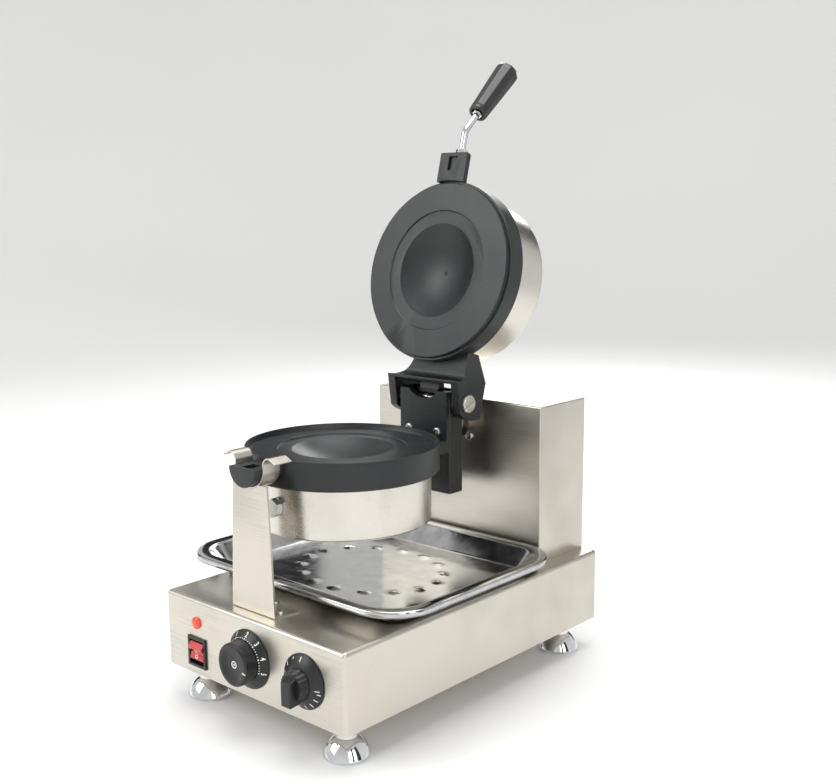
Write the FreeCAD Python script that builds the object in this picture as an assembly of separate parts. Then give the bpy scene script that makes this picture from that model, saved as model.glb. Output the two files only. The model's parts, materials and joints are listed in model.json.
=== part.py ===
"""Waffle cone maker: a double-plate press on a stainless control box.

Frame: +Z up, +X to the user's right, +Y away from the user, origin at the bottom centre of the
bounding box with the lid standing open.  While it is built, the model uses shop coordinates: X = 0 on
the middle of the control box, Y = 0 on its front panel and Z = 0 on its bottom edge.  The lid is
designed closed and is then swung open about the hinge pin.
"""
import FreeCAD
import Part
import math
import os

# ---------------------------------------------------------------- control box
BOX_W = 250.0
BOX_D = 385.0
BOX_H = 75.0
SHEET = 1.2
FOLD_R = 4.0
REAR_R = 8.0
FOOT_H = 34.0
FOOT_R = 21.8
FOOT_INSET_X = 28.0
FOOT_INSET_FRONT = 28.0
FOOT_INSET_REAR = 33.0
STUD_R = 4.0

# ---------------------------------------------------------------- rotor axis (runs along Y)
AXIS_X = -10.0
AXIS_Z = BOX_H + 138.0
SHAFT_R = 15.0
SHAFT_BORE_R = 11.0

# ---------------------------------------------------------------- column
COL_W = 230.0
COL_FRONT = 304.0
COL_H = 166.0
COL_FOLD_R = 2.0
COL_REAR_R = 3.0
BEARING_R = 24.0
BEARING_SCREW_DX = 20.5
BEARING_SCREW_DZ = 14.0

# ---------------------------------------------------------------- pans and drums
PAN_R = 95.4
PAN_Y = 133.0
BAND_H = 23.0
RIM_H = 4.5
RIM_W = 3.4
SPIGOT_R = PAN_R - RIM_W
DRAFT = 1.0
SEAL_GAP = 0.5
STEP_DEPTH = 1.5
DOME_DEPTH = 18.0
CAST_T = 6.0
DRUM_INSET = 8.4
DRUM_R = PAN_R - DRUM_INSET
STEP_INSET = 24.0
STEP_R = DRUM_R - STEP_INSET
DOME_INSET = 13.0
DOME_R = STEP_R - DOME_INSET
DRUM_REACH = 72.0
DRUM_T = 1.0
NEST_GAP = 0.3
COVER_SCREW_INSET = 9.0
COVER_SCREW_R = DRUM_R - COVER_SCREW_INSET
COVER_POST_R = 4.0
HEATER_INSET = 21.0
HEATER_R = DRUM_R - HEATER_INSET
HEATER_ROD_R = 4.0
LID_GAP = 0.2

# ---------------------------------------------------------------- hinge
PIN_Y = 266.4
PIN_RISE = 29.2
PIN_R = 5.0
PIN_HEAD_R = 9.5
PIN_COLLAR_R = 6.2
RUN_GAP = 0.1
SWING_GAP = 0.5
LID_OPEN = 104.5
EAR_OUT = 49.0
EAR_T = 9.5
EAR_R = 24.0
WEB_Y = 249.0
WEB_T = 14.0
FORK_LOW = 7.0
FORK_NECK = 23.0
FORK_LEDGE = 3.0
POCKET_T = 9.5
PLATE_HALF_W = 32.4
PLATE_Y = 251.6
PLATE_T = 4.4
PLATE_TOP = 41.0
CHANNEL_D = 22.0
CHANNEL_DROP = 68.0
CHANNEL_T = 4.0
STOP_T = 4.0

# ---------------------------------------------------------------- journal, saddle and support
JOURNAL_R = 18.0
JOURNAL_Y = 5.7
SADDLE_GAP = 0.4
SADDLE_T = 1.5
SADDLE_LEN = 20.0
LIP_R = 8.0
SUPPORT_Y = 14.5
SUPPORT_T = 2.0
SUPPORT_TOP_HALF = 23.7
SUPPORT_FOOT_HALF = 30.0
SUPPORT_FOOT_D = 31.5

# ---------------------------------------------------------------- handle
ROD_R = 3.5
ROD_RISE = 16.0
ROD_REACH = 26.6
GRIP_TILT = 33.0
GRIP_START = 27.4
GRIP_LEN = 73.0
GRIP_R0 = 11.0
GRIP_R1 = 13.8
GRIP_SIDES = 10

# ---------------------------------------------------------------- drip tray
TRAY_W = 309.0
TRAY_D = 253.0
TRAY_H = 21.0
TRAY_R = 48.0
TRAY_RIM = 15.0
TRAY_SLOPE = 20.0
TRAY_T = 1.0
TRAY_GAP = 5.6
TRAY_ROLL = 6.0
TRAY_OFFSET = -2.4

# ---------------------------------------------------------------- front panel
SWITCH_X = -77.5
SWITCH_Z = 22.5
BEZEL_W = 27.0
BEZEL_H = 30.0
BEZEL_T = 2.0
ROCKER_TILT = 12.0
ROCKER_RIDGE = 6.5
ROCKER_END = 4.5
LAMP_Z = 52.0
LAMP_R = 6.0
TIMER_X = 0.0
THERMO_X = 74.5
DIAL_Z = 37.0
TIMER_SKIRT_R = 28.0
TIMER_R = 20.5
TIMER_OUT = 20.6
THERMO_SKIRT_R = 25.2
THERMO_R = 14.6
THERMO_OUT = 22.6
SKIRT_H = 7.5
SPINDLE_R = 3.0

V = FreeCAD.Vector
NODES = {}


# ---------------------------------------------------------------- shape helpers
def box(x0, x1, y0, y1, z0, z1):
    return Part.makeBox(x1 - x0, y1 - y0, z1 - z0, V(x0, y0, z0))


def cyl_x(r, x0, x1, y, z):
    return Part.makeCylinder(r, x1 - x0, V(x0, y, z), V(1, 0, 0))


def cyl_y(r, y0, y1, x, z):
    return Part.makeCylinder(r, y1 - y0, V(x, y0, z), V(0, 1, 0))


def cyl_z(r, z0, z1, x, y):
    return Part.makeCylinder(r, z1 - z0, V(x, y, z0), V(0, 0, 1))


def prism(points, push):
    """Solid swept from a flat polygon along the vector push."""
    wire = Part.makePolygon(points + [points[0]])
    return Part.Face(wire).extrude(push)


def wire_solid(edges, push):
    """Solid swept from a flat closed outline of edges along the vector push."""
    return Part.Face(Part.Wire(Part.__sortEdges__(edges))).extrude(push)


def turned(profile, centre, axis):
    """Solid of revolution of a closed face about a line."""
    return profile.revolve(centre, axis, 360)


def turned_z(points, x, y):
    """Solid turned about a vertical line from (radius, height) points."""
    outline = [V(x + r, y, z) for r, z in points]
    face = Part.Face(Part.makePolygon(outline + [outline[0]]))
    return turned(face, V(x, y, 0), V(0, 0, 1))


def turned_y(points, x, z):
    """Solid turned about a line along Y from (radius, y) points."""
    outline = [V(x + r, y, z) for r, y in points]
    face = Part.Face(Part.makePolygon(outline + [outline[0]]))
    return turned(face, V(x, 0, z), V(0, 1, 0))


def rounded_rect(x0, x1, y0, y1, z, r):
    """Closed wire of a rounded rectangle in a level plane."""
    edges = []
    corners = [(x1 - r, y1 - r, 0), (x0 + r, y1 - r, 90), (x0 + r, y0 + r, 180), (x1 - r, y0 + r, 270)]
    for cx, cy, start in corners:
        circle = Part.Circle(V(cx, cy, z), V(0, 0, 1), r)
        edges.append(circle.toShape(math.radians(start), math.radians(start + 90)))
    for i in range(4):
        tail = edges[i].valueAt(edges[i].LastParameter)
        following = edges[(i + 1) % 4]
        head = following.valueAt(following.FirstParameter)
        edges.append(Part.makeLine(tail, head))
    return Part.Wire(Part.__sortEdges__(edges))


def slab(x0, x1, y0, y1, z0, z1, r):
    """Rounded rectangular plate."""
    return Part.Face(rounded_rect(x0, x1, y0, y1, z0, r)).extrude(V(0, 0, z1 - z0))


def edges_where(shape, test):
    return [e for e in shape.Edges if test(e)]


def fused(shapes):
    whole = shapes[0].fuse(shapes[1:])
    return whole.removeSplitter()


def group(shapes):
    return Part.makeCompound(shapes)


def hex_prism(across, centre, axis, length):
    """Hexagon bar across its flats, along axis from centre."""
    corner = across / math.sqrt(3)
    other = axis.cross(V(0, 0, 1) if abs(axis.z) < 0.9 else V(1, 0, 0))
    other.normalize()
    side = other.cross(axis)
    points = []
    for i in range(6):
        a = math.radians(60 * i)
        points.append(centre + side * (corner * math.cos(a)) + other * (corner * math.sin(a)))
    return prism(points, axis * length)


def pan_screw(at, into, head_r, head_h, shank_r, shank_len):
    """Pan head machine screw: the head stands on the surface and the shank goes into it."""
    head = Part.makeCylinder(head_r, head_h, at, into * -1)
    rim = [e for e in head.Edges if e.Closed and e.CenterOfMass.sub(at).dot(into) < -head_h / 2]
    head = head.makeFillet(head_h * 0.6, rim)
    shank = Part.makeCylinder(shank_r, shank_len, at, into)
    return head.fuse(shank).removeSplitter()


def swung_open(shape):
    """A closed-lid shape turned to the open position about the hinge pin."""
    turned_shape = shape.copy()
    turned_shape.rotate(V(0, PIN_Y, AXIS_Z + PIN_RISE), V(1, 0, 0), -LID_OPEN)
    return turned_shape


def keep(name, shape):
    NODES[name] = shape


# ---------------------------------------------------------------- control box parts
def folded_box(x0, x1, y0, y1, z0, z1, fold, rear):
    """Box with folded upright and top edges, wider bends at the rear and a square bottom edge."""
    block = box(x0, x1, y0, y1, z0, z1)
    middle = (z0 + z1) / 2
    upright = edges_where(block, lambda e: abs(e.CenterOfMass.z - middle) < 0.01)
    block = block.makeFillet(rear, [e for e in upright if e.CenterOfMass.y > y1 - 0.01])
    upright = edges_where(block, lambda e: abs(e.CenterOfMass.z - middle) < 0.01)
    front = [e for e in upright if e.CenterOfMass.y < y0 + 0.01]
    block = block.makeFillet(fold, front)
    top = edges_where(block, lambda e: abs(e.CenterOfMass.z - z1) < 0.01)
    return block.makeFillet(fold, top)


def foot_places():
    left = -BOX_W / 2 + FOOT_INSET_X
    right = BOX_W / 2 - FOOT_INSET_X
    rear = BOX_D - FOOT_INSET_REAR
    return [(left, FOOT_INSET_FRONT), (right, FOOT_INSET_FRONT), (left, rear), (right, rear)]


def support_screw_places():
    rear = SUPPORT_Y + SUPPORT_FOOT_D - 5.0
    front = SUPPORT_Y + 11.5
    return [(AXIS_X, rear), (AXIS_X - 24.0, front), (AXIS_X + 24.0, front)]


def gland_place():
    return V(-70.0, BOX_D, 32.0)


def bottom_screw_places():
    x = BOX_W / 2 - SHEET - 6.0
    return [(sx * x, y) for sx in (-1, 1) for y in (BOX_D * 0.3, BOX_D * 0.7)]


def control_box():
    outer = folded_box(-BOX_W / 2, BOX_W / 2, 0, BOX_D, 0, BOX_H, FOLD_R, REAR_R)
    inner = folded_box(-BOX_W / 2 + SHEET, BOX_W / 2 - SHEET, SHEET, BOX_D - SHEET, 0,
                       BOX_H - SHEET, FOLD_R - SHEET, REAR_R - SHEET)
    shell = outer.cut(inner)
    half_w = BEZEL_W / 2 - 2.0
    half_h = BEZEL_H / 2 - 2.0
    cuts = [box(SWITCH_X - half_w, SWITCH_X + half_w, -1, SHEET + 1, SWITCH_Z - half_h, SWITCH_Z + half_h)]
    cuts.append(cyl_y(LAMP_R - 1.5, -1, SHEET + 1, SWITCH_X, LAMP_Z))
    for x in (TIMER_X, THERMO_X):
        cuts.append(cyl_y(SPINDLE_R + 2.0, -1, SHEET + 1, x, DIAL_Z))
    for x, y in support_screw_places():
        cuts.append(cyl_z(2.0, BOX_H - SHEET - 1, BOX_H + 1, x, y))
    gland = gland_place()
    cuts.append(cyl_y(8.0, BOX_D - SHEET - 1, BOX_D + 1, gland.x, gland.z))
    cuts.append(cyl_z(18.0, BOX_H - SHEET - 1, BOX_H + 1, AXIS_X, (COL_FRONT + BOX_D) / 2))
    return fused([shell.cut(cuts)] + bottom_ledges())


def bottom_plate():
    m = SHEET + 0.3
    plate = slab(-BOX_W / 2 + m, BOX_W / 2 - m, m, BOX_D - m, 1.0, 1.0 + SHEET, REAR_R - SHEET)
    cuts = [cyl_z(STUD_R, 0, 4, x, y) for x, y in foot_places()]
    cuts += [cyl_z(1.5, 0, 4, x, y) for x, y in bottom_screw_places()]
    for i in range(9):
        y = BOX_D / 2 - 60.0 + i * 15.0
        for side in (-1, 1):
            x = side * 45.0
            cuts.append(slab(x - 20.0, x + 20.0, y - 2.0, y + 2.0, 0, 4, 1.9))
    return plate.cut(cuts)


def bottom_ledges():
    """Folded ledges inside the box that the bottom plate screws to."""
    ledges = []
    z0 = 1.0 + SHEET
    for side in (-1, 1):
        wall = side * (BOX_W / 2 - SHEET)
        lip = wall - side * 14.0
        ledge = box(min(wall, lip), max(wall, lip), FOOT_INSET_FRONT + 18.0,
                    BOX_D - FOOT_INSET_REAR - 18.0, z0, z0 + SHEET)
        holes = [cyl_z(1.5, z0 - 1, z0 + SHEET + 1, x, y) for x, y in bottom_screw_places()]
        ledges.append(ledge.cut(holes))
    return ledges


def bottom_screws():
    return group([pan_screw(V(x, y, 1.0), V(0, 0, 1), 3.0, 0.9, 1.5, 5.0) for x, y in bottom_screw_places()])


def foot_bell(x, y):
    """Chrome bell foot: flared skirt, stepped neck, hollow underneath."""
    z = -FOOT_H
    flank = V(x + FOOT_R * 0.8, y, z + 11.5)
    outer = Part.Arc(V(x + FOOT_R, y, z + 3.0), flank, V(x + 10.5, y, z + 18.5)).toShape()
    steps = [(10.5, z + 18.5), (10.5, z + 22.0), (8.6, z + 22.0), (8.6, z + 25.5), (7.2, z + 25.5),
             (7.2, 1.0), (0, 1.0), (0, z + 14.0), (6.0, z + 14.0), (FOOT_R - 3.0, z + 2.0),
             (FOOT_R - 3.0, z), (FOOT_R - 1.0, z), (FOOT_R, z + 1.0), (FOOT_R, z + 3.0)]
    points = [V(x + r, y, h) for r, h in steps]
    lines = [Part.makeLine(points[i], points[i + 1]) for i in range(len(points) - 1)]
    face = Part.Face(Part.Wire([outer] + lines))
    return turned(face, V(x, y, 0), V(0, 0, 1))


def foot_studs():
    studs = []
    for x, y in foot_places():
        rod = cyl_z(STUD_R, 1.0, 16.0, x, y)
        nut = hex_prism(13.0, V(x, y, 1.0 + SHEET), V(0, 0, 1), 6.5)
        studs.append(fused([rod, nut]))
    return group(studs)


def cable_gland():
    """Gland body, lock nut and dome nut on the rear wall; its bore is open."""
    at = gland_place()
    body = cyl_y(8.0, at.y - SHEET - 7.0, at.y + 9.0, at.x, at.z)
    nut_in = hex_prism(22.0, V(at.x, at.y - SHEET - 5.0, at.z), V(0, 1, 0), 5.0)
    nut_out = hex_prism(22.0, V(at.x, at.y, at.z), V(0, 1, 0), 6.0)
    dome = Part.makeCone(10.5, 7.5, 10.0, V(at.x, at.y + 6.0, at.z), V(0, 1, 0))
    bore = cyl_y(4.5, at.y - 20.0, at.y + 30.0, at.x, at.z)
    return fused([body, nut_in, nut_out, dome]).cut(bore)


# ---------------------------------------------------------------- column parts
def column_shell():
    left = AXIS_X - COL_W / 2
    right = AXIS_X + COL_W / 2
    top = BOX_H + COL_H
    outer = folded_box(left, right, COL_FRONT, BOX_D, BOX_H, top, COL_FOLD_R, COL_REAR_R)
    inner = folded_box(left + SHEET, right - SHEET, COL_FRONT + SHEET, BOX_D - SHEET, BOX_H - 1,
                       top - SHEET, COL_FOLD_R - SHEET, COL_REAR_R - SHEET)
    window = box(left + COL_REAR_R + 15.0, right - COL_REAR_R - 15.0, BOX_D - SHEET - 1, BOX_D + 1,
                 BOX_H + 12.0, top - 12.0)
    cuts = [inner, window, cyl_y(SHAFT_R + 3.0, COL_FRONT - 1, COL_FRONT + SHEET + 1, AXIS_X, AXIS_Z)]
    cuts += bearing_screw_holes(COL_FRONT - 1, COL_FRONT + SHEET + 1)
    cuts += [cyl_y(1.6, BOX_D - SHEET - 1, BOX_D + 1, x, z) for x, z in back_screw_places()]
    return outer.cut(cuts)


def back_screw_places():
    left = AXIS_X - COL_W / 2 + COL_REAR_R + 5.0
    right = AXIS_X + COL_W / 2 - COL_REAR_R - 5.0
    return [(x, z) for x in (left, right) for z in (BOX_H + 8.0, BOX_H + COL_H - 8.0)]


def column_back():
    """Vented rear cover screwed over the column's service window."""
    left = AXIS_X - COL_W / 2 + COL_REAR_R
    right = AXIS_X + COL_W / 2 - COL_REAR_R
    plate = box(left, right, BOX_D, BOX_D + SHEET, BOX_H + 3.0, BOX_H + COL_H - 3.0)
    cuts = [cyl_y(1.6, BOX_D - 1, BOX_D + SHEET + 1, x, z) for x, z in back_screw_places()]
    for i in range(7):
        z = BOX_H + 45.0 + i * 12.0
        cuts.append(box(AXIS_X - 50.0, AXIS_X + 50.0, BOX_D - 1, BOX_D + SHEET + 1, z, z + 4.0))
    return plate.cut(cuts)


def back_screws():
    return group([pan_screw(V(x, BOX_D + SHEET, z), V(0, -1, 0), 3.4, 2.2, 1.6, 6.0)
                  for x, z in back_screw_places()])


def bearing_screw_places():
    return [(AXIS_X + sx * BEARING_SCREW_DX, AXIS_Z + sz * BEARING_SCREW_DZ) for sx in (-1, 1) for sz in (-1, 1)]


def bearing_screw_holes(y0, y1):
    return [cyl_y(2.5, y0, y1, x, z) for x, z in bearing_screw_places()]


def bearing_housing():
    """Flanged block behind the column's front sheet, bored for the shaft bush."""
    y0 = COL_FRONT + SHEET
    flange = box(AXIS_X - 32.0, AXIS_X + 32.0, y0, y0 + 6.0, AXIS_Z - 26.0, AXIS_Z + 26.0)
    barrel = cyl_y(BEARING_R, y0, y0 + 34.0, AXIS_X, AXIS_Z)
    bore = cyl_y(SHAFT_R + 3.0, y0 - 1, y0 + 40.0, AXIS_X, AXIS_Z)
    return fused([flange, barrel]).cut([bore] + bearing_screw_holes(y0 - 1, y0 + 10.0))


def bearing_bush():
    y0 = COL_FRONT - 2.0
    bush = cyl_y(SHAFT_R + 3.0, y0, COL_FRONT + SHEET + 34.0, AXIS_X, AXIS_Z)
    return bush.cut(cyl_y(SHAFT_R + RUN_GAP, y0 - 1, COL_FRONT + 60.0, AXIS_X, AXIS_Z))


def bearing_screws():
    return group([pan_screw(V(x, COL_FRONT, z), V(0, 1, 0), 4.6, 3.0, 2.5, SHEET + 8.0)
                  for x, z in bearing_screw_places()])


def column_bracket():
    """Bent plate that ties the bearing housing down to the box top."""
    y0 = COL_FRONT + SHEET + 6.0
    upright = box(AXIS_X - 30.0, AXIS_X + 30.0, y0, y0 + 3.0, BOX_H, BOX_H + COL_H - SHEET - 0.2)
    foot = box(AXIS_X - 30.0, AXIS_X + 30.0, y0, y0 + 20.0, BOX_H, BOX_H + 3.0)
    gap = cyl_y(BEARING_R, y0 - 1, y0 + 4.0, AXIS_X, AXIS_Z)
    pass_hole = cyl_z(18.0, BOX_H - 1, BOX_H + 4.0, AXIS_X, (COL_FRONT + BOX_D) / 2)
    return fused([upright, foot]).cut([gap, pass_hole] + bearing_screw_holes(y0 - 1, y0 + 4.0))


# ---------------------------------------------------------------- support and saddle
def support_plate():
    """Front upright with its rearward foot; the top is cut round the saddle."""
    top = AXIS_Z - JOURNAL_R + 3.0
    y0 = SUPPORT_Y
    outline = [V(AXIS_X - SUPPORT_FOOT_HALF, y0, BOX_H), V(AXIS_X + SUPPORT_FOOT_HALF, y0, BOX_H),
               V(AXIS_X + SUPPORT_TOP_HALF, y0, top), V(AXIS_X - SUPPORT_TOP_HALF, y0, top)]
    upright = prism(outline, V(0, SUPPORT_T, 0))
    rear = y0 + SUPPORT_FOOT_D
    half = SUPPORT_FOOT_HALF + 4.0
    flange_outline = [V(AXIS_X - SUPPORT_FOOT_HALF, y0, BOX_H), V(AXIS_X + SUPPORT_FOOT_HALF, y0, BOX_H),
                      V(AXIS_X + half, rear - 6.0, BOX_H), V(AXIS_X + half - 10.0, rear, BOX_H),
                      V(AXIS_X - half + 10.0, rear, BOX_H), V(AXIS_X - half, rear - 6.0, BOX_H)]
    flange = prism(flange_outline, V(0, 0, SUPPORT_T))
    saddle_cut = cyl_y(JOURNAL_R + SADDLE_GAP + SADDLE_T, y0 - 1, y0 + SUPPORT_T + 1, AXIS_X, AXIS_Z)
    holes = [cyl_z(2.0, BOX_H - 1, BOX_H + SUPPORT_T + 1, x, y) for x, y in support_screw_places()]
    whole = fused([upright, flange]).cut([saddle_cut] + holes)
    bend = edges_where(whole, lambda e: abs(e.CenterOfMass.y - y0) < 0.01 and abs(e.CenterOfMass.z - BOX_H) < 0.01)
    return whole.makeFillet(1.5, bend)


def saddle_side(offset):
    """Half of the saddle's section line at a distance outside the inner face, from bottom to lip end."""
    r = JOURNAL_R + SADDLE_GAP + offset
    lip = LIP_R - offset
    neck = 3.5
    reach = JOURNAL_R + SADDLE_GAP + LIP_R
    y = SUPPORT_Y
    bottom = Part.Arc(V(0, y, -r), V(r * math.sin(math.pi / 4), y, -r * math.cos(math.pi / 4)), V(r, y, 0)).toShape()
    side = Part.makeLine(V(r, y, 0), V(r, y, neck))
    half_way = math.radians(120)
    end = math.radians(62)
    roll = Part.Arc(V(r, y, neck),
                    V(reach + lip * math.cos(half_way), y, neck + lip * math.sin(half_way)),
                    V(reach + lip * math.cos(end), y, neck + lip * math.sin(end))).toShape()
    slope = V(math.sin(end), 0, -math.cos(end))
    start = V(reach + lip * math.cos(end), y, neck + lip * math.sin(end))
    tip = start + slope * 7.0
    return [bottom, side, roll, Part.makeLine(start, tip)], tip


def saddle():
    """Bent strip that carries the journal, with lips rolled outwards for easy entry."""
    inner, inner_tip = saddle_side(0.0)
    outer, outer_tip = saddle_side(SADDLE_T)
    foot_line = Part.makeLine(inner[0].valueAt(inner[0].FirstParameter), outer[0].valueAt(outer[0].FirstParameter))
    edges = inner + outer + [foot_line, Part.makeLine(inner_tip, outer_tip)]
    half = wire_solid(edges, V(0, SADDLE_LEN, 0))
    half.translate(V(AXIS_X, 0, AXIS_Z))
    other = half.mirror(V(AXIS_X, 0, 0), V(1, 0, 0))
    return fused([half, other])


def support_screws():
    return group([pan_screw(V(x, y, BOX_H + SUPPORT_T), V(0, 0, -1), 4.0, 2.6, 2.0, 8.0)
                  for x, y in support_screw_places()])


# ---------------------------------------------------------------- pans
def dome_arc(radius, height, x, y, z, up):
    """Arc from the axis to the edge of a spherical dish."""
    ball = (radius * radius + height * height) / (2 * height)
    a = math.asin(radius / ball) / 2
    mid_r = ball * math.sin(a)
    mid_z = height - ball * (1 - math.cos(a))
    return Part.Arc(V(x, y, z + up * height), V(x + mid_r, y, z + up * mid_z), V(x + radius, y, z)).toShape()


def pan_disc(sign, face_z, outline_points):
    """Dished cast disc turned about the pan's centre line.

    sign is -1 for the lower pan, whose casting hangs down, and +1 for the lid.
    """
    x, y = AXIS_X, PAN_Y
    step_z = face_z + sign * STEP_DEPTH
    dish = dome_arc(DOME_R, DOME_DEPTH - STEP_DEPTH, x, y, step_z, sign)
    back_z = face_z + sign * (CAST_T + 8.0)
    shell = dome_arc(DOME_R + CAST_T + 1.0, DOME_DEPTH + CAST_T - 8.0 - CAST_T, x, y, back_z, sign)
    front = [V(x + DOME_R, y, step_z), V(x + STEP_R, y, step_z), V(x + STEP_R + 1.0, y, face_z)]
    rim = [V(x + r, y, z) for r, z in outline_points]
    skirt_r = DRUM_R + NEST_GAP
    back = [V(x + skirt_r, y, back_z), V(x + DOME_R + CAST_T + 1.0, y, back_z)]
    path = front + rim + back
    lines = [Part.makeLine(path[i], path[i + 1]) for i in range(len(path) - 1)]
    spine = Part.makeLine(shell.valueAt(shell.FirstParameter), dish.valueAt(dish.FirstParameter))
    face = Part.Face(Part.Wire(Part.__sortEdges__([dish] + lines + [shell, spine])))
    return turned(face, V(x, y, 0), V(0, 0, 1))


def half_journal(y0, y1, up, z):
    """Half of the round journal, flat on the parting plane."""
    bar = cyl_y(JOURNAL_R, y0, y1, AXIS_X, AXIS_Z)
    bar = bar.makeFillet(1.0, [e for e in bar.Edges if e.Closed and abs(e.CenterOfMass.y - y0) < 0.01])
    top = z if up < 0 else AXIS_Z + JOURNAL_R + 1
    low = z if up > 0 else AXIS_Z - JOURNAL_R - 1
    return bar.common(box(AXIS_X - 30, AXIS_X + 30, y0 - 1, y1 + 1, low, top))


def lower_pan():
    """Lower casting: pan, front half journal and the rear hinge plate on its bridge."""
    face = AXIS_Z
    rim = [(SPIGOT_R - 4.0, face), (SPIGOT_R - 3.0, face - 1.2), (SPIGOT_R + SEAL_GAP - 0.6, face - 1.2),
           (SPIGOT_R + SEAL_GAP, face), (SPIGOT_R + SEAL_GAP + DRAFT, face + RIM_H),
           (PAN_R - 0.5, face + RIM_H), (PAN_R, face + RIM_H - 0.5), (PAN_R, face - BAND_H + 1.2),
           (PAN_R - 1.2, face - BAND_H), (DRUM_R + NEST_GAP, face - BAND_H)]
    disc = pan_disc(-1, face, rim)
    journal = half_journal(JOURNAL_Y, PAN_Y - PAN_R + 2.0, -1, AXIS_Z)
    slot = box(AXIS_X - 6.0, AXIS_X + 6.0, JOURNAL_Y + 5.0, JOURNAL_Y + 20.0, AXIS_Z - 4.0, AXIS_Z + 1)
    rear = PAN_Y + PAN_R
    low = AXIS_Z - BAND_H
    bridge = box(AXIS_X - 24.0, AXIS_X + 24.0, rear - 9.0, PLATE_Y + 1.0, low, low + 9.0)
    plate = box(AXIS_X - PLATE_HALF_W, AXIS_X + PLATE_HALF_W, PLATE_Y, PLATE_Y + PLATE_T, low,
                AXIS_Z + PLATE_TOP)
    corner = edges_where(plate, lambda e: e.CenterOfMass.z > AXIS_Z + PLATE_TOP - 0.01
                         and abs(abs(e.CenterOfMass.x - AXIS_X) - PLATE_HALF_W) < 0.01)
    plate = plate.makeFillet(2.0, corner)
    notch = cyl_y(28.0, PLATE_Y - 1, PLATE_Y + PLATE_T + 1, AXIS_X, AXIS_Z + PLATE_TOP + 19.0)
    gussets = []
    for side in (-1, 1):
        x = AXIS_X + side * PLATE_HALF_W
        web = [V(x, PLATE_Y + 1.0, AXIS_Z - 10.0), V(x, PLATE_Y + 1.0, low), V(x, rear - 13.0, low),
               V(x, rear - 9.0, low + 12.0)]
        gussets.append(prism(web, V(-side * 5.0, 0, 0)))
    holes = [cyl_y(2.5, PLATE_Y - 1, PLATE_Y + PLATE_T + 1, x, z) for x, z in plate_screw_places()]
    inside = cyl_z(DRUM_R + NEST_GAP, low - 1, face - CAST_T - 8.0, AXIS_X, PAN_Y)
    arms = fused([journal, bridge, plate] + gussets).cut(inside)
    return fused([disc, arms]).cut([slot, notch] + holes)


def plate_screw_places():
    return [(AXIS_X + side * 19.5, AXIS_Z - 1.5) for side in (-1, 1)]


def plate_screws():
    return group([pan_screw(V(x, PLATE_Y, z), V(0, 1, 0), 4.4, 2.8, 2.5, PLATE_T + CHANNEL_T + 2.0)
                  for x, z in plate_screw_places()])


def clevis_plan(y_end, z0, z1):
    """Fork outline seen from above: flared from the pan on the left, straight along the right ear."""
    y0 = PAN_Y + PAN_R - 14.0
    left = AXIS_X - EAR_OUT
    right = AXIS_X + EAR_OUT
    neck = AXIS_X - FORK_NECK
    flare = WEB_Y - FORK_LEDGE
    start = V(neck, y0, z0)
    bend = V(neck, PAN_Y + PAN_R - 6.0, z0)
    end = V(left, flare, z0)
    middle = V(neck - 6.0, flare - 10.0, z0)
    far_left = V(left, y_end, z0)
    far_right = V(right, y_end, z0)
    near_right = V(right, y0, z0)
    edges = [Part.makeLine(start, bend), Part.Arc(bend, middle, end).toShape(), Part.makeLine(end, far_left),
             Part.makeLine(far_left, far_right), Part.makeLine(far_right, near_right),
             Part.makeLine(near_right, start)]
    return wire_solid(edges, V(0, 0, z1 - z0))


def clevis_pocket():
    """Coved trough in front of the web, open at both sides of the fork."""
    low = AXIS_Z + FORK_LOW
    y0 = PAN_Y + PAN_R - 16.0
    y1 = WEB_Y - FORK_LEDGE
    cove = POCKET_T - 1.0
    left = AXIS_X - EAR_OUT - 2.0
    right = AXIS_X + EAR_OUT + 2.0
    floor = low + POCKET_T
    a = V(left, y0, low - 2.0)
    b = V(left, y1, low - 2.0)
    c = V(left, y1, floor - cove)
    d = V(left, y1 - cove, floor)
    e = V(left, y0, floor)
    arc_mid = V(left, y1 - cove * (1 - math.sqrt(0.5)), floor - cove * (1 - math.sqrt(0.5)))
    return wire_solid([Part.makeLine(a, b), Part.makeLine(b, c), Part.Arc(c, arc_mid, d).toShape(),
                       Part.makeLine(d, e), Part.makeLine(e, a)], V(right - left, 0, 0))


def clevis_side():
    """Side outline of the fork as a block over its whole width."""
    x = AXIS_X - EAR_OUT - 1.0
    pin = V(x, PIN_Y, AXIS_Z + PIN_RISE)
    y0 = PAN_Y + PAN_R - 15.0
    low = AXIS_Z + FORK_LOW
    a = V(x, y0, low)
    b = V(x, WEB_Y - 2.0, low)
    c = V(x, PIN_Y + 12.0, pin.z - 9.5)
    rear = V(x, PIN_Y + 16.5, pin.z + 4.0)
    d = V(x, PIN_Y + 13.0, pin.z + EAR_R)
    e = V(x, PIN_Y - 25.0, pin.z + EAR_R)
    f = V(x, y0, low + 26.0)
    edges = [Part.makeLine(a, b), Part.makeLine(b, c), Part.Arc(c, rear, d).toShape(), Part.makeLine(d, e),
             Part.makeLine(e, f), Part.makeLine(f, a)]
    return wire_solid(edges, V(2 * EAR_OUT + 2.0, 0, 0))


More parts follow.
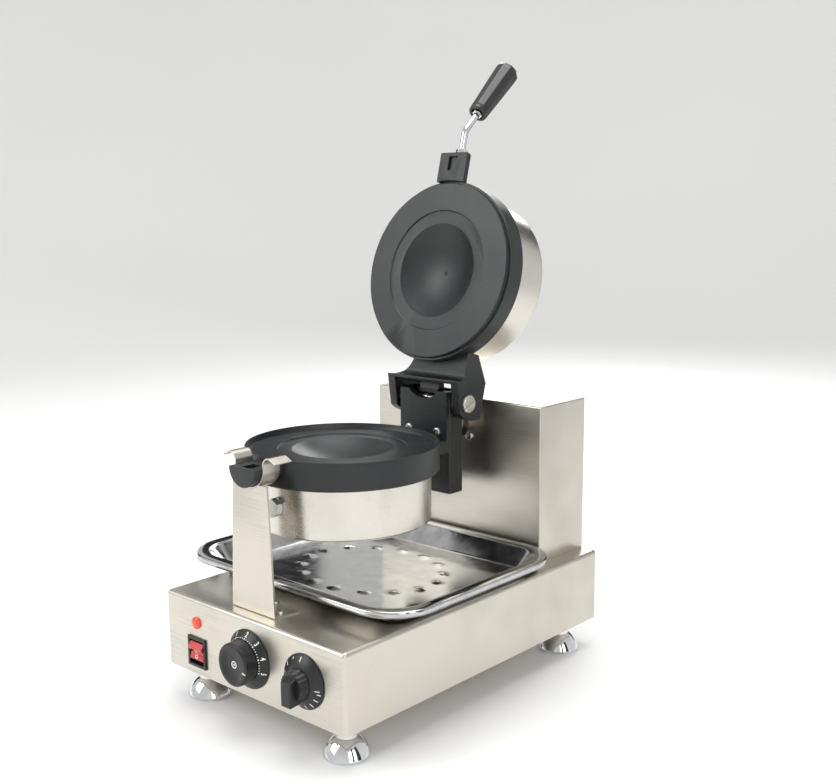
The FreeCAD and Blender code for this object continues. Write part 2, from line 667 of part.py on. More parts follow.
def clevis():
    """Hinge fork of the lid casting with the lid closed: web with a pocket, crossbar and two ears."""
    low = AXIS_Z + FORK_LOW
    top = low + 60.0
    inner = EAR_OUT - EAR_T
    fork = clevis_plan(PIN_Y + 30.0, low, top).common(clevis_side())
    gap = box(AXIS_X - inner, AXIS_X + inner, WEB_Y, PIN_Y + 40.0, low - 1, top + 1)
    behind = box(AXIS_X - FORK_NECK + EAR_T, AXIS_X + inner, PAN_Y + PAN_R - 20.0, WEB_Y + 1.0,
                 low + WEB_T, top + 1)
    pin_hole = cyl_x(PIN_R + RUN_GAP, AXIS_X - EAR_OUT - 1, AXIS_X + EAR_OUT + 1, PIN_Y, AXIS_Z + PIN_RISE)
    swing = math.hypot(PIN_Y - PLATE_Y, PLATE_TOP - PIN_RISE) + SWING_GAP
    relief = cyl_x(swing, AXIS_X - inner, AXIS_X + inner, PIN_Y, AXIS_Z + PIN_RISE)
    return fork.cut([gap, behind, clevis_pocket(), pin_hole, relief])


def upper_pan():
    """Lid casting: pan, rear clevis and front half journal, drawn closed and swung open."""
    face = AXIS_Z + LID_GAP
    rim = [(SPIGOT_R, face), (SPIGOT_R + DRAFT, face + RIM_H), (PAN_R - 0.4, face + RIM_H),
           (PAN_R, face + RIM_H + 0.4), (PAN_R, face + BAND_H + 0.8), (PAN_R - 1.2, face + BAND_H + 2.0),
           (DRUM_R + NEST_GAP, face + BAND_H + 2.0)]
    disc = pan_disc(1, face, rim)
    journal = half_journal(JOURNAL_Y + 2.0, PAN_Y - PAN_R + 3.0, 1, face)
    slot = box(AXIS_X - 6.0, AXIS_X + 6.0, JOURNAL_Y + 6.0, JOURNAL_Y + 21.0, face - 1, face + 3.0)
    rod_hole = cyl_y(ROD_R, JOURNAL_Y, JOURNAL_Y + 16.0, AXIS_X, AXIS_Z + ROD_RISE - 4.0)
    inside = cyl_z(DRUM_R + NEST_GAP, face + CAST_T + 8.0, face + 60.0, AXIS_X, PAN_Y)
    seat = cyl_z(PAN_R + LID_GAP, face - 1, face + RIM_H, AXIS_X, PAN_Y)
    seat = seat.cut(cyl_z(SPIGOT_R, face - 2, face + RIM_H + 1, AXIS_X, PAN_Y))
    arms = fused([journal, clevis()]).cut([inside, seat])
    return swung_open(fused([disc, arms]).cut([slot, rod_hole]))


# ---------------------------------------------------------------- drums, covers, heaters
def drum(sign, face_z):
    """Stainless heater housing round the back of a pan."""
    near = face_z + sign * (CAST_T + 8.0)
    far = face_z + sign * DRUM_REACH
    z0, z1 = min(near, far), max(near, far)
    tube = cyl_z(DRUM_R, z0, z1, AXIS_X, PAN_Y).cut(cyl_z(DRUM_R - DRUM_T, z0 - 1, z1 + 1, AXIS_X, PAN_Y))
    bolt = cyl_y(5.0, PAN_Y - DRUM_R - 2, PAN_Y - DRUM_R + 3, AXIS_X, drum_bolt_z(sign))
    return tube.cut(bolt)


def drum_bolt_z(sign):
    return AXIS_Z + sign * 44.0


def drum_bolt(sign):
    z = drum_bolt_z(sign)
    y = PAN_Y - DRUM_R
    head = hex_prism(16.0, V(AXIS_X, y - 6.4, z), V(0, 1, 0), 6.4)
    washer = cyl_y(8.6, y - 0.8, y, AXIS_X, z)
    shank = cyl_y(5.0, y - 0.9, y + 9.0, AXIS_X, z)
    nut = hex_prism(16.0, V(AXIS_X, y + 2.0, z), V(0, 1, 0), 6.0)
    return fused([head, washer, shank, nut])


def drum_cover(sign, face_z):
    """End disc of a drum with vent slots, set inside its rim."""
    far = face_z + sign * DRUM_REACH
    z0 = far if sign < 0 else far - 1.2
    disc = cyl_z(DRUM_R - DRUM_T - 0.05, z0, z0 + 1.2, AXIS_X, PAN_Y)
    cuts = [cyl_z(1.6, z0 - 1, z0 + 3, x, y) for x, y in cover_screw_places()]
    for i in range(6):
        a = math.radians(60 * i)
        slot = slab(-9.0, 9.0, -2.0, 2.0, z0 - 1, z0 + 3, 1.9)
        slot.rotate(V(0, 0, 0), V(0, 0, 1), math.degrees(a) + 90)
        slot.translate(V(AXIS_X + 38.0 * math.cos(a), PAN_Y + 38.0 * math.sin(a), 0))
        cuts.append(slot)
    return disc.cut(cuts)


def cover_screw_places():
    turns = [math.radians(a) for a in (90, 210, 330)]
    return [(AXIS_X + COVER_SCREW_R * math.cos(t), PAN_Y + COVER_SCREW_R * math.sin(t)) for t in turns]


def cover_screws(sign, face_z):
    far = face_z + sign * DRUM_REACH
    return group([pan_screw(V(x, y, far), V(0, 0, -sign), 3.4, 2.2, 1.6, 6.0) for x, y in cover_screw_places()])


def cover_posts(sign, face_z):
    """Threaded posts that hold a drum cover to the casting."""
    near = face_z + sign * (CAST_T + 8.0)
    far = face_z + sign * (DRUM_REACH - 1.2)
    z0, z1 = min(near, far), max(near, far)
    posts = []
    for x, y in cover_screw_places():
        post = cyl_z(COVER_POST_R, z0, z1, x, y)
        hole_z = far if sign < 0 else far - 8.0
        posts.append(post.cut(cyl_z(1.6, hole_z, hole_z + 8.0, x, y)))
    return group(posts)


def heater(sign, face_z):
    """Ring heating element pressed to the back of the casting, with two terminals."""
    z = face_z + sign * (CAST_T + 8.0 + HEATER_ROD_R)
    ring = Part.makeTorus(HEATER_R, HEATER_ROD_R, V(AXIS_X, PAN_Y, z), V(0, 0, 1))
    ends = []
    for dx in (-8.0, 8.0):
        y = PAN_Y + math.sqrt(HEATER_R ** 2 - dx ** 2)
        z0 = z if sign > 0 else z - 22.0
        ends.append(cyl_z(2.0, z0, z0 + 22.0, AXIS_X + dx, y))
    return fused([ring] + ends)


# ---------------------------------------------------------------- rotor carrier
def channel():
    """Box-section carrier behind the hinge plate, with the shaft and pin bores."""
    y0 = PLATE_Y + PLATE_T
    y1 = y0 + CHANNEL_D
    x0, x1 = AXIS_X - PLATE_HALF_W - 0.4, AXIS_X + PLATE_HALF_W + 0.4
    z0, z1 = AXIS_Z - CHANNEL_DROP, AXIS_Z + PLATE_TOP
    body = box(x0, x1, y0, y1, z0, z1)
    uprights = edges_where(body, lambda e: abs(e.CenterOfMass.z - (z0 + z1) / 2) < 0.01)
    body = body.makeFillet(2.5, uprights)
    hollow = box(x0 + CHANNEL_T, x1 - CHANNEL_T, y0 + CHANNEL_T, y1 - CHANNEL_T, z0 - 1, z1 + 1)
    notch = cyl_y(28.0, y0 - 1, y0 + CHANNEL_T + 1, AXIS_X, AXIS_Z + PLATE_TOP + 19.0)
    wire_way = cyl_y(SHAFT_BORE_R, y1 - CHANNEL_T - 1, y1 + 1, AXIS_X, AXIS_Z)
    pin_bore = cyl_x(PIN_R, x0 - 1, x1 + 1, PIN_Y, AXIS_Z + PIN_RISE)
    holes = [cyl_y(2.5, y0 - 1, y0 + CHANNEL_T + 1, x, z) for x, z in plate_screw_places()]
    holes += [cyl_x(2.0, x0 - 1, x1 + 1, y1 - 7.0, AXIS_Z + 15.0)]
    return body.cut([hollow, notch, wire_way, pin_bore] + holes)


def channel_screws():
    """Side screws that hold the stop block inside the carrier."""
    x = PLATE_HALF_W + 0.4
    y = PLATE_Y + PLATE_T + CHANNEL_D - 7.0
    screws = []
    for side in (-1, 1):
        at = V(AXIS_X + side * x, y, AXIS_Z + 15.0)
        screws.append(pan_screw(at, V(-side, 0, 0), 3.6, 2.4, 2.0, CHANNEL_T + 3.0))
    return group(screws)


def stop_block():
    """Wedge on the carrier that the lid's web leans on when the lid is open."""
    lean = math.radians(LID_OPEN - 90.0)
    gap = 0.3
    top = AXIS_Z + PLATE_TOP
    web_back = -(PIN_RISE - FORK_LOW - WEB_T)
    n = V(0, math.cos(lean), -math.sin(lean))
    along = V(0, math.sin(lean), math.cos(lean))
    pin = V(AXIS_X - 13.0, PIN_Y, AXIS_Z + PIN_RISE)
    base = pin + n * (web_back + gap)
    low = (top - base.z) / along.z
    a = base + along * low
    b = base + along * (low + 18.0)
    c = b + V(0, 5.0, 0)
    d = V(a.x, c.y, top)
    e = V(a.x, c.y, top - STOP_T)
    front = PLATE_Y + PLATE_T + CHANNEL_T
    f = V(a.x, front, top - STOP_T)
    g = V(a.x, front, top)
    ordered = [a, b, c, d, e, f, g] if a.y > front else [a, b, c, d]
    return prism(ordered, V(26.0, 0, 0))


def shaft():
    y0 = PLATE_Y + PLATE_T + CHANNEL_D
    tube = cyl_y(SHAFT_R, y0, COL_FRONT + 56.0, AXIS_X, AXIS_Z)
    bead = [(SHAFT_R - 1.0, y0), (SHAFT_R + 3.0, y0), (SHAFT_R, y0 + 3.0), (SHAFT_R - 1.0, y0 + 3.0)]
    weld = turned_y(bead, AXIS_X, AXIS_Z)
    bore = cyl_y(SHAFT_BORE_R, y0 - 1, COL_FRONT + 60.0, AXIS_X, AXIS_Z)
    return fused([tube, weld]).cut(bore)


def shaft_collar():
    """Clamp collar behind the bearing with the pin that limits the turn."""
    y0 = COL_FRONT + SHEET + 34.0 + 0.4
    ring = cyl_y(SHAFT_R + 8.0, y0, y0 + 9.0, AXIS_X, AXIS_Z)
    ring = ring.cut(cyl_y(SHAFT_R, y0 - 1, y0 + 10, AXIS_X, AXIS_Z))
    lug = cyl_x(2.5, AXIS_X + SHAFT_R + 4.0, AXIS_X + SHAFT_R + 16.0, y0 + 4.5, AXIS_Z)
    return fused([ring, lug])


def hinge_pin():
    """Shoulder bolt through both ears and the carrier, slotted head on the right."""
    z = AXIS_Z + PIN_RISE
    right = AXIS_X + EAR_OUT
    left = AXIS_X - EAR_OUT
    bar = cyl_x(PIN_R, left - 11.0, right + 0.3, PIN_Y, z)
    head = cyl_x(PIN_HEAD_R, right + 0.3, right + 3.3, PIN_Y, z)
    rim = [e for e in head.Edges if e.Closed and e.CenterOfMass.x > right + 3.2]
    head = head.makeFillet(1.8, rim)
    slot = box(right + 1.9, right + 4.0, PIN_Y - 12.0, PIN_Y + 12.0, z - 1.0, z + 1.0)
    slot.rotate(V(right, PIN_Y, z), V(1, 0, 0), 25)
    return fused([bar, head]).cut(slot)


def hinge_nut():
    z = AXIS_Z + PIN_RISE
    left = AXIS_X - EAR_OUT
    nut = hex_prism(16.0, V(left - 8.3, PIN_Y, z), V(1, 0, 0), 8.0)
    return nut.cut(cyl_x(PIN_R, left - 12.0, left, PIN_Y, z))


def hinge_washers():
    """Washers that fill the gap between the carrier and each ear."""
    z = AXIS_Z + PIN_RISE
    inner = PLATE_HALF_W + 0.4
    outer = EAR_OUT - EAR_T - 0.3
    count = 3
    pitch = (outer - inner) / count
    rings = []
    for side in (-1, 1):
        for i in range(count):
            x0 = inner + i * pitch
            x1 = x0 + pitch - 0.4
            lo, hi = sorted((AXIS_X + side * x0, AXIS_X + side * x1))
            ring = cyl_x(PIN_R + 4.5 - i * 0.5, lo, hi, PIN_Y, z)
            rings.append(ring.cut(cyl_x(PIN_R, lo - 1, hi + 1, PIN_Y, z)))
    return group(rings)


def pin_collars():
    """Two set collars on the pin inside the carrier, seen through the notch."""
    z = AXIS_Z + PIN_RISE
    rings = []
    for x in (AXIS_X - 6.0, AXIS_X + 3.0):
        ring = cyl_x(PIN_COLLAR_R, x, x + 3.0, PIN_Y, z)
        rings.append(ring.cut(cyl_x(PIN_R, x - 1, x + 4.0, PIN_Y, z)))
    return group(rings)


# ---------------------------------------------------------------- handle
def handle_frame():
    """Start of the grip and its direction, with the lid closed."""
    z = AXIS_Z + ROD_RISE - 4.0
    bend = V(AXIS_X, JOURNAL_Y + 2.0 - ROD_REACH, z)
    tilt = math.radians(GRIP_TILT)
    direction = V(0, -math.cos(tilt), math.sin(tilt))
    return bend, direction


def handle_rod():
    bend, direction = handle_frame()
    start = V(AXIS_X, JOURNAL_Y + 16.0, bend.z)
    end = bend + direction * (GRIP_START + 40.0)
    r = 16.0
    cut_back = r * math.tan(math.radians(GRIP_TILT) / 2)
    a = bend + V(0, cut_back, 0)
    b = bend + direction * cut_back
    centre = V(AXIS_X, a.y, a.z + r)
    towards = bend.sub(centre)
    towards.normalize()
    arc = Part.Arc(a, centre + towards * r, b).toShape()
    path = Part.Wire([Part.makeLine(start, a), arc, Part.makeLine(b, end)])
    section = Part.Wire([Part.makeCircle(ROD_R, start, V(0, -1, 0))])
    return swung_open(path.makePipeShell([section], True, False))


def rod_nut():
    bend = handle_frame()[0]
    y = JOURNAL_Y + 2.0
    washer = cyl_y(7.5, y - 1.5, y, AXIS_X, bend.z)
    nut = hex_prism(11.0, V(AXIS_X, y - 6.5, bend.z), V(0, 1, 0), 5.0)
    return swung_open(fused([washer, nut]).cut(cyl_y(ROD_R, y - 10, y + 1, AXIS_X, bend.z)))


def grip_section(s, r, direction, origin):
    """Regular polygon wire across the grip at distance s from its small end."""
    side = V(1, 0, 0)
    other = direction.cross(side)
    points = []
    for i in range(GRIP_SIDES):
        a = 2 * math.pi * (i + 0.5) / GRIP_SIDES
        points.append(origin + direction * s + side * (r * math.cos(a)) + other * (r * math.sin(a)))
    return Part.makePolygon(points + [points[0]])


def grip():
    """Tapered ten-sided grip with a round collar and a domed end."""
    bend, direction = handle_frame()
    origin = bend + direction * GRIP_START
    taper = (GRIP_R1 - GRIP_R0) / GRIP_LEN
    body = Part.makeLoft([grip_section(6.0, GRIP_R0 + 6.0 * taper, direction, origin),
                          grip_section(GRIP_LEN - 5.0, GRIP_R1, direction, origin)], True)
    hub = Part.makeCone(GRIP_R0 - 0.8, GRIP_R0 - 0.2, 7.0, origin, direction)
    cap = Part.makeCone(GRIP_R1 * 0.93, GRIP_R1 * 0.62, 5.0, origin + direction * (GRIP_LEN - 5.0), direction)
    bore = Part.makeCylinder(ROD_R, 45.0, origin - direction * 5.0, direction)
    recess = Part.makeCylinder(7.6, 4.0, origin, direction)
    return swung_open(fused([body, hub, cap]).cut([bore, recess]))


def grip_nut():
    bend, direction = handle_frame()
    origin = bend + direction * (GRIP_START - 1.0)
    nut = hex_prism(10.0, origin, direction, 5.0)
    return swung_open(nut.cut(Part.makeCylinder(ROD_R, 8.0, origin - direction, direction)))


# ---------------------------------------------------------------- drip tray
def tray_rect(inset, z, r):
    x0 = AXIS_X + TRAY_OFFSET - TRAY_W / 2 + inset
    x1 = AXIS_X + TRAY_OFFSET + TRAY_W / 2 - inset
    y1 = COL_FRONT - TRAY_GAP - inset
    y0 = COL_FRONT - TRAY_GAP - TRAY_D + inset
    return rounded_rect(x0, x1, y0, y1, z, r)


def tray():
    """Pressed tray: flat floor, sloping walls and a rim with a rolled edge."""
    z0 = BOX_H + 0.1
    z1 = BOX_H + TRAY_H
    foot = TRAY_RIM + TRAY_SLOPE
    outer = Part.makeLoft([tray_rect(foot, z0, TRAY_R - foot), tray_rect(TRAY_RIM, z1, TRAY_R - TRAY_RIM)], True)
    inner = Part.makeLoft([tray_rect(foot + TRAY_T, z0 + TRAY_T, TRAY_R - foot - TRAY_T),
                           tray_rect(TRAY_RIM + TRAY_T, z1, TRAY_R - TRAY_RIM - TRAY_T)], True)
    low = z1 - TRAY_ROLL
    rim = Part.Face(tray_rect(0, low, TRAY_R)).extrude(V(0, 0, TRAY_ROLL))
    level = edges_where(rim, lambda e: min(abs(e.CenterOfMass.z - z1), abs(e.CenterOfMass.z - low)) < 0.01)
    rim = rim.makeFillet(2.0, level)
    under = Part.Face(tray_rect(4.0, low - 1.0, TRAY_R - 4.0)).extrude(V(0, 0, TRAY_ROLL))
    rim = rim.cut(under)
    return fused([outer, rim]).cut(inner)


# ---------------------------------------------------------------- front panel parts
def switch_bezel():
    half_w = BEZEL_W / 2
    half_h = BEZEL_H / 2
    frame = box(SWITCH_X - half_w, SWITCH_X + half_w, -BEZEL_T, 0, SWITCH_Z - half_h, SWITCH_Z + half_h)
    front = edges_where(frame, lambda e: abs(e.CenterOfMass.y + BEZEL_T) < 0.01)
    frame = frame.makeFillet(0.8, front)
    tub = box(SWITCH_X - half_w + 2.1, SWITCH_X + half_w - 2.1, -0.5, 24.0, SWITCH_Z - half_h + 2.1,
              SWITCH_Z + half_h - 2.1)
    hole = box(SWITCH_X - half_w + 3.0, SWITCH_X + half_w - 3.0, -5.0, 17.0, SWITCH_Z - half_h + 3.0,
               SWITCH_Z + half_h - 3.0)
    tabs = [box(SWITCH_X + dx - 0.4, SWITCH_X + dx + 0.4, 24.0, 32.0, SWITCH_Z + dz - 3.0, SWITCH_Z + dz + 3.0)
            for dx in (-5.0, 5.0) for dz in (-6.0, 6.0)]
    return fused([frame, tub] + tabs).cut(hole)


def rocker_pivot():
    return V(SWITCH_X, 3.0, SWITCH_Z)


def switch_rocker():
    """Rocker with two ridges and sloping ends, resting on its lower half (off)."""
    pivot = rocker_pivot()
    half_w = BEZEL_W / 2 - 3.3
    x0 = SWITCH_X - half_w
    reach = BEZEL_H / 2 - 4.4
    ridge_z = reach - ROCKER_END
    points = [(-1.5, reach), (-ROCKER_RIDGE, ridge_z), (-3.8, 0.0), (-ROCKER_RIDGE, -ridge_z),
              (-1.5, -reach), (3.5, -reach + 2.5), (3.5, reach - 2.5)]
    outline = [V(x0, pivot.y + y, pivot.z + z) for y, z in points]
    body = prism(outline, V(2 * half_w, 0, 0))
    ridge = edges_where(body, lambda e: e.CenterOfMass.y < pivot.y - ROCKER_RIDGE + 0.1
                        and abs(e.CenterOfMass.x - SWITCH_X) < 0.01)
    body = body.makeFillet(0.6, ridge)
    body.rotate(pivot, V(1, 0, 0), ROCKER_TILT)
    return body


def lamp_lens():
    dome = turned_y([(0, -3.2), (LAMP_R * 0.55, -2.8), (LAMP_R * 0.85, -1.6), (LAMP_R, 0.0), (0, 0.0)],
                    SWITCH_X, LAMP_Z)
    stem = cyl_y(LAMP_R - 1.6, -0.1, 12.0, SWITCH_X, LAMP_Z)
    return fused([dome, stem])


def lamp_nut():
    nut = hex_prism(14.0, V(SWITCH_X, SHEET, LAMP_Z), V(0, 1, 0), 3.0)
    return nut.cut(cyl_y(LAMP_R - 1.6, 0, 8.0, SWITCH_X, LAMP_Z))


def dial_skirt(x, skirt_r, hub_r):
    """Conical numbered skirt that stands on the panel."""
    profile = [(SPINDLE_R + 1.5, -0.3), (skirt_r, -0.3), (skirt_r, -1.6), (hub_r, -SKIRT_H),
               (SPINDLE_R + 1.5, -SKIRT_H)]
    return turned_y(profile, x, DIAL_Z)


def timer_knob():
    """Round knob with a dished face and an index mark."""
    profile = [(SPINDLE_R, -SKIRT_H - 0.3), (TIMER_R, -SKIRT_H - 0.3), (TIMER_R, -TIMER_OUT + 2.0),
               (TIMER_R - 0.7, -TIMER_OUT + 0.6), (TIMER_R - 2.2, -TIMER_OUT), (TIMER_R - 8.0, -TIMER_OUT + 2.2),
               (0, -TIMER_OUT + 2.8), (0, -TIMER_OUT + 6.0), (SPINDLE_R, -TIMER_OUT + 6.0)]
    knob = turned_y(profile, TIMER_X, DIAL_Z)
    mark = box(TIMER_X + TIMER_R - 5.0, TIMER_X + TIMER_R + 1, -TIMER_OUT - 1, -TIMER_OUT + 0.8,
               DIAL_Z - 0.7, DIAL_Z + 0.7)
    mark.rotate(V(TIMER_X, 0, DIAL_Z), V(0, 1, 0), 12)
    return knob.cut(mark)


def spindle(x, tip):
    return cyl_y(SPINDLE_R, tip, SHEET + 4.5, x, DIAL_Z)


def thermostat_knob():
    """Skirt, tapered hub and offset bar grip in one moulding."""
    x = THERMO_X
    skirt = turned_y([(0, -0.5), (THERMO_SKIRT_R, -0.5), (THERMO_SKIRT_R, -1.8), (THERMO_R + 1.0, -SKIRT_H),
                      (0, -SKIRT_H)], x, DIAL_Z)
    hub = Part.makeCone(THERMO_R, THERMO_R - 2.5, 9.0, V(x, -SKIRT_H + 0.5, DIAL_Z), V(0, -1, 0))
    half = 6.2
    side = [V(x - half, -SKIRT_H + 0.5, DIAL_Z + 13.0), V(x - half, -THERMO_OUT, DIAL_Z + 5.5),
            V(x - half, -THERMO_OUT, DIAL_Z - 17.0), V(x - half, -SKIRT_H - 4.0, DIAL_Z - 16.0),
            V(x - half, -SKIRT_H + 0.5, DIAL_Z - 13.0)]
    bar = prism(side, V(2 * half, 0, 0))
    front = edges_where(bar, lambda e: abs(e.CenterOfMass.y + THERMO_OUT) < 0.01)
    bar = bar.makeFillet(1.2, front)
    bore = cyl_y(SPINDLE_R, -12.0, 1.0, x, DIAL_Z)
    return fused([skirt, hub, bar]).cut(bore)


def timer_body():
    body = box(TIMER_X - 21.0, TIMER_X + 21.0, SHEET, 38.0, DIAL_Z - 21.0, DIAL_Z + 21.0)
    bore = cyl_y(SPINDLE_R + 0.2, 0, 8.0, TIMER_X, DIAL_Z)
    tabs = [box(TIMER_X + dx - 3.0, TIMER_X + dx + 3.0, 38.0, 46.0, DIAL_Z - 0.4, DIAL_Z + 0.4)
            for dx in (-12.0, 0.0, 12.0)]
    return fused([body] + tabs).cut(bore)


def thermostat_body():
    can = cyl_y(17.0, SHEET + 2.0, 26.0, THERMO_X, DIAL_Z)
    strap = box(THERMO_X - 19.0, THERMO_X + 19.0, SHEET, SHEET + 2.0, DIAL_Z - 6.0, DIAL_Z + 6.0)
    bore = cyl_y(SPINDLE_R + 0.2, 0, 8.0, THERMO_X, DIAL_Z)
    tabs = [box(THERMO_X + dx - 3.0, THERMO_X + dx + 3.0, 26.0, 34.0, DIAL_Z - 0.4, DIAL_Z + 0.4)
            for dx in (-9.0, 9.0)]
    return fused([can, strap] + tabs).cut(bore)


def terminal_block():
    """Six-way terminal strip on the bottom plate."""
    z0 = 1.0 + SHEET
    y0 = BOX_D - 75.0
    body = box(-100.0, -40.0, y0, y0 + 20.0, z0, z0 + 14.0)
    wells = [cyl_z(3.0, z0 + 8.0, z0 + 20.0, -95.0 + 10.0 * i, y0 + dy) for i in range(6) for dy in (5.0, 15.0)]
    return body.cut(wells)


# ---------------------------------------------------------------- assembly
def build():
    keep("control_box", control_box())
    keep("bottom_plate", bottom_plate())
    keep("bottom_screws", bottom_screws())
    for i, (x, y) in enumerate(foot_places()):
        keep("foot_%d" % (i + 1), foot_bell(x, y))
    keep("foot_studs", foot_studs())
    keep("cable_gland", cable_gland())
    keep("column_shell", column_shell())
    keep("column_back", column_back())
    keep("column_back_screws", back_screws())
    keep("column_bracket", column_bracket())
    keep("bearing_housing", bearing_housing())
    keep("bearing_bush", bearing_bush())
    keep("bearing_screws", bearing_screws())
    keep("support_plate", support_plate())
    keep("saddle", saddle())
    keep("support_screws", support_screws())
    keep("drip_tray", tray())
    keep("switch_bezel", switch_bezel())
    keep("switch_rocker", switch_rocker())
    keep("lamp_lens", lamp_lens())
    keep("lamp_nut", lamp_nut())
    keep("timer_dial", dial_skirt(TIMER_X, TIMER_SKIRT_R, TIMER_R))
    keep("timer_knob", timer_knob())
    keep("timer_spindle", spindle(TIMER_X, -TIMER_OUT + 6.0))
    keep("timer_body", timer_body())
    keep("thermostat_knob", thermostat_knob())
    keep("thermostat_spindle", spindle(THERMO_X, -12.0))
    keep("thermostat_body", thermostat_body())
    keep("terminal_block", terminal_block())
    keep("lower_pan", lower_pan())
    keep("plate_screws", plate_screws())
    keep("lower_drum", drum(-1, AXIS_Z))
    keep("lower_drum_bolt", drum_bolt(-1))
    keep("lower_cover", drum_cover(-1, AXIS_Z))
    keep("lower_cover_screws", cover_screws(-1, AXIS_Z))
    keep("lower_cover_posts", cover_posts(-1, AXIS_Z))
    keep("lower_heater", heater(-1, AXIS_Z))
    keep("carrier_channel", channel())
    keep("channel_screws", channel_screws())
    keep("stop_block", stop_block())
    keep("rotor_shaft", shaft())
    keep("shaft_collar", shaft_collar())
    keep("hinge_pin", hinge_pin())
    keep("hinge_nut", hinge_nut())
    keep("hinge_washers", hinge_washers())
    keep("pin_collars", pin_collars())
    lid_face = AXIS_Z + LID_GAP
    keep("upper_pan", upper_pan())
    keep("upper_drum", swung_open(drum(1, lid_face)))
    keep("upper_drum_bolt", swung_open(drum_bolt(1)))
    keep("upper_cover", swung_open(drum_cover(1, lid_face)))
    keep("upper_cover_screws", swung_open(cover_screws(1, lid_face)))
    keep("upper_cover_posts", swung_open(cover_posts(1, lid_face)))
    keep("upper_heater", swung_open(heater(1, lid_face)))
    keep("handle_rod", handle_rod())
    keep("rod_nut", rod_nut())
    keep("grip", grip())
    keep("grip_nut", grip_nut())


def datums():
    """Joint points in shop coordinates."""
    pivot = rocker_pivot()
    return {"hinge_pin": V(AXIS_X, PIN_Y, AXIS_Z + PIN_RISE), "rotor_axis": V(AXIS_X, COL_FRONT, AXIS_Z),
            "rocker": pivot, "timer": V(TIMER_X, 0, DIAL_Z), "thermostat": V(THERMO_X, 0, DIAL_Z),
            "tray": V(AXIS_X, PAN_Y, BOX_H), "bearing_face": V(AXIS_X, COL_FRONT, AXIS_Z),
            "shop_origin": V(0, 0, 0)}


def main():
    os.makedirs("parts", exist_ok=True)
    build()
    bounds = group(list(NODES.values())).optimalBoundingBox(True, False)
    shift = V(-(bounds.XMin + bounds.XMax) / 2, -(bounds.YMin + bounds.YMax) / 2, -bounds.ZMin)
    for name, shape in NODES.items():
        placed = shape.copy()
        placed.translate(shift)
        placed.exportStep("parts/%s.step" % name)
        state = (name, len(placed.Solids), placed.isValid(), placed.Volume)
        print("node %s solids %d valid %s volume %.0f" % state)
    print("size %.2f %.2f %.2f" % (bounds.XLength, bounds.YLength, bounds.ZLength))
    for name, point in datums().items():
        moved = point + shift
        print("datum %s %.4f %.4f %.4f" % (name, moved.x, moved.y, moved.z))


main()
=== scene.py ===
import json
import math

import bmesh
import bpy
from mathutils import Matrix, Vector

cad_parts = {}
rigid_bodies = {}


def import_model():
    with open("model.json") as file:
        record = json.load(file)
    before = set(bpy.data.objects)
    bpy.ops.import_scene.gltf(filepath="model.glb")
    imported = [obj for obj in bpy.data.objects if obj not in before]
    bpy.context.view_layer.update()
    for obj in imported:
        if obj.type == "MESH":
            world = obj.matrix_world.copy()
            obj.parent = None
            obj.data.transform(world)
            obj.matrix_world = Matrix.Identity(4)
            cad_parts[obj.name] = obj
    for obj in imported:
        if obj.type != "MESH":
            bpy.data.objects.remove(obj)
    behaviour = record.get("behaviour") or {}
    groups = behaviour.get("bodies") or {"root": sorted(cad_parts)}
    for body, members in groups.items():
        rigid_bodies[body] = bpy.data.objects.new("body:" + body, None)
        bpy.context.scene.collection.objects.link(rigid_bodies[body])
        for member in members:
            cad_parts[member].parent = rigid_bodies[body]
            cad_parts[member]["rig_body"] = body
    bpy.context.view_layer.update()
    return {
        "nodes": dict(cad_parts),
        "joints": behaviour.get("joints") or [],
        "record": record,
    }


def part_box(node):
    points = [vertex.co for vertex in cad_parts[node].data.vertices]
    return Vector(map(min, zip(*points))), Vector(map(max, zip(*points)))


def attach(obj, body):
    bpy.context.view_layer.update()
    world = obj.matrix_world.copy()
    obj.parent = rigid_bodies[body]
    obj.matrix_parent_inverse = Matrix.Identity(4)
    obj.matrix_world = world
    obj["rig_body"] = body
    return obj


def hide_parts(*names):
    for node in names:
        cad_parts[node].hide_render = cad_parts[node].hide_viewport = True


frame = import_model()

bl_info = {
    "name": "Waffle cone maker looks",
    "version": (1, 0, 0),
    "blender": (4, 5, 0),
    "location": "3D View > Sidebar > Waffle Maker",
    "description": "Builds the pressed, moulded and printed pieces of a waffle cone maker on its CAD frame",
    "category": "Object",
}

MM = 0.001
NODES = frame["nodes"]
JOINTS = {joint["name"]: joint for joint in frame["joints"]}
BOX_LOW, BOX_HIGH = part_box("control_box")
# The middle of the front panel's bottom edge; dials are measured out from the panel, in millimetres.
PANEL_FOOT = Vector(((BOX_LOW.x + BOX_HIGH.x) / 2, BOX_LOW.y, BOX_LOW.z))
LID_OPEN = math.radians(JOINTS["lid_hinge"]["range_deg"][1])
OPEN_TURN = Matrix.Rotation(-LID_OPEN, 4, "X")
FORWARD = Vector((0, -1, 0))
UP = Vector((0, 0, 1))
LID_UP = (OPEN_TURN @ UP).normalized()

# Sizes of the machine's small shapes, in millimetres where no unit is given.
TIMER_HUB_R = 20.5
THERMOSTAT_HUB_R = 14.6
SKIRT_TOP = 7.5
SKIRT_BORE_R = 4.5
PRINT_EDGE = 0.4
TIMER_START, TIMER_SWEEP = -62.0, 168.0
DOTS_PER_STEP = 5
POINTER_CLOCK = 12.0
BAR_HALF = 6.2
HUB_FLUTES = 22
HUB_DEPTH = 9.0
ROCKER_REST = math.radians(12.0)
ROCKER_FACE = Vector((0, -5.25, 3.1))
ROCKER_RISE = Vector((0, -2.7, 6.1))
GRIP_TILT = math.radians(33.0)
GRIP_TAPER = 2.8
HEM = 2.2
SEAM_TURN, SEAM_WIDTH = math.radians(-22), math.radians(5.0)
DIMPLE_RING = 0.52
DIMPLE_SPREAD = (0.0085, 0.0062)
FLOOR_PITCH = 0.003
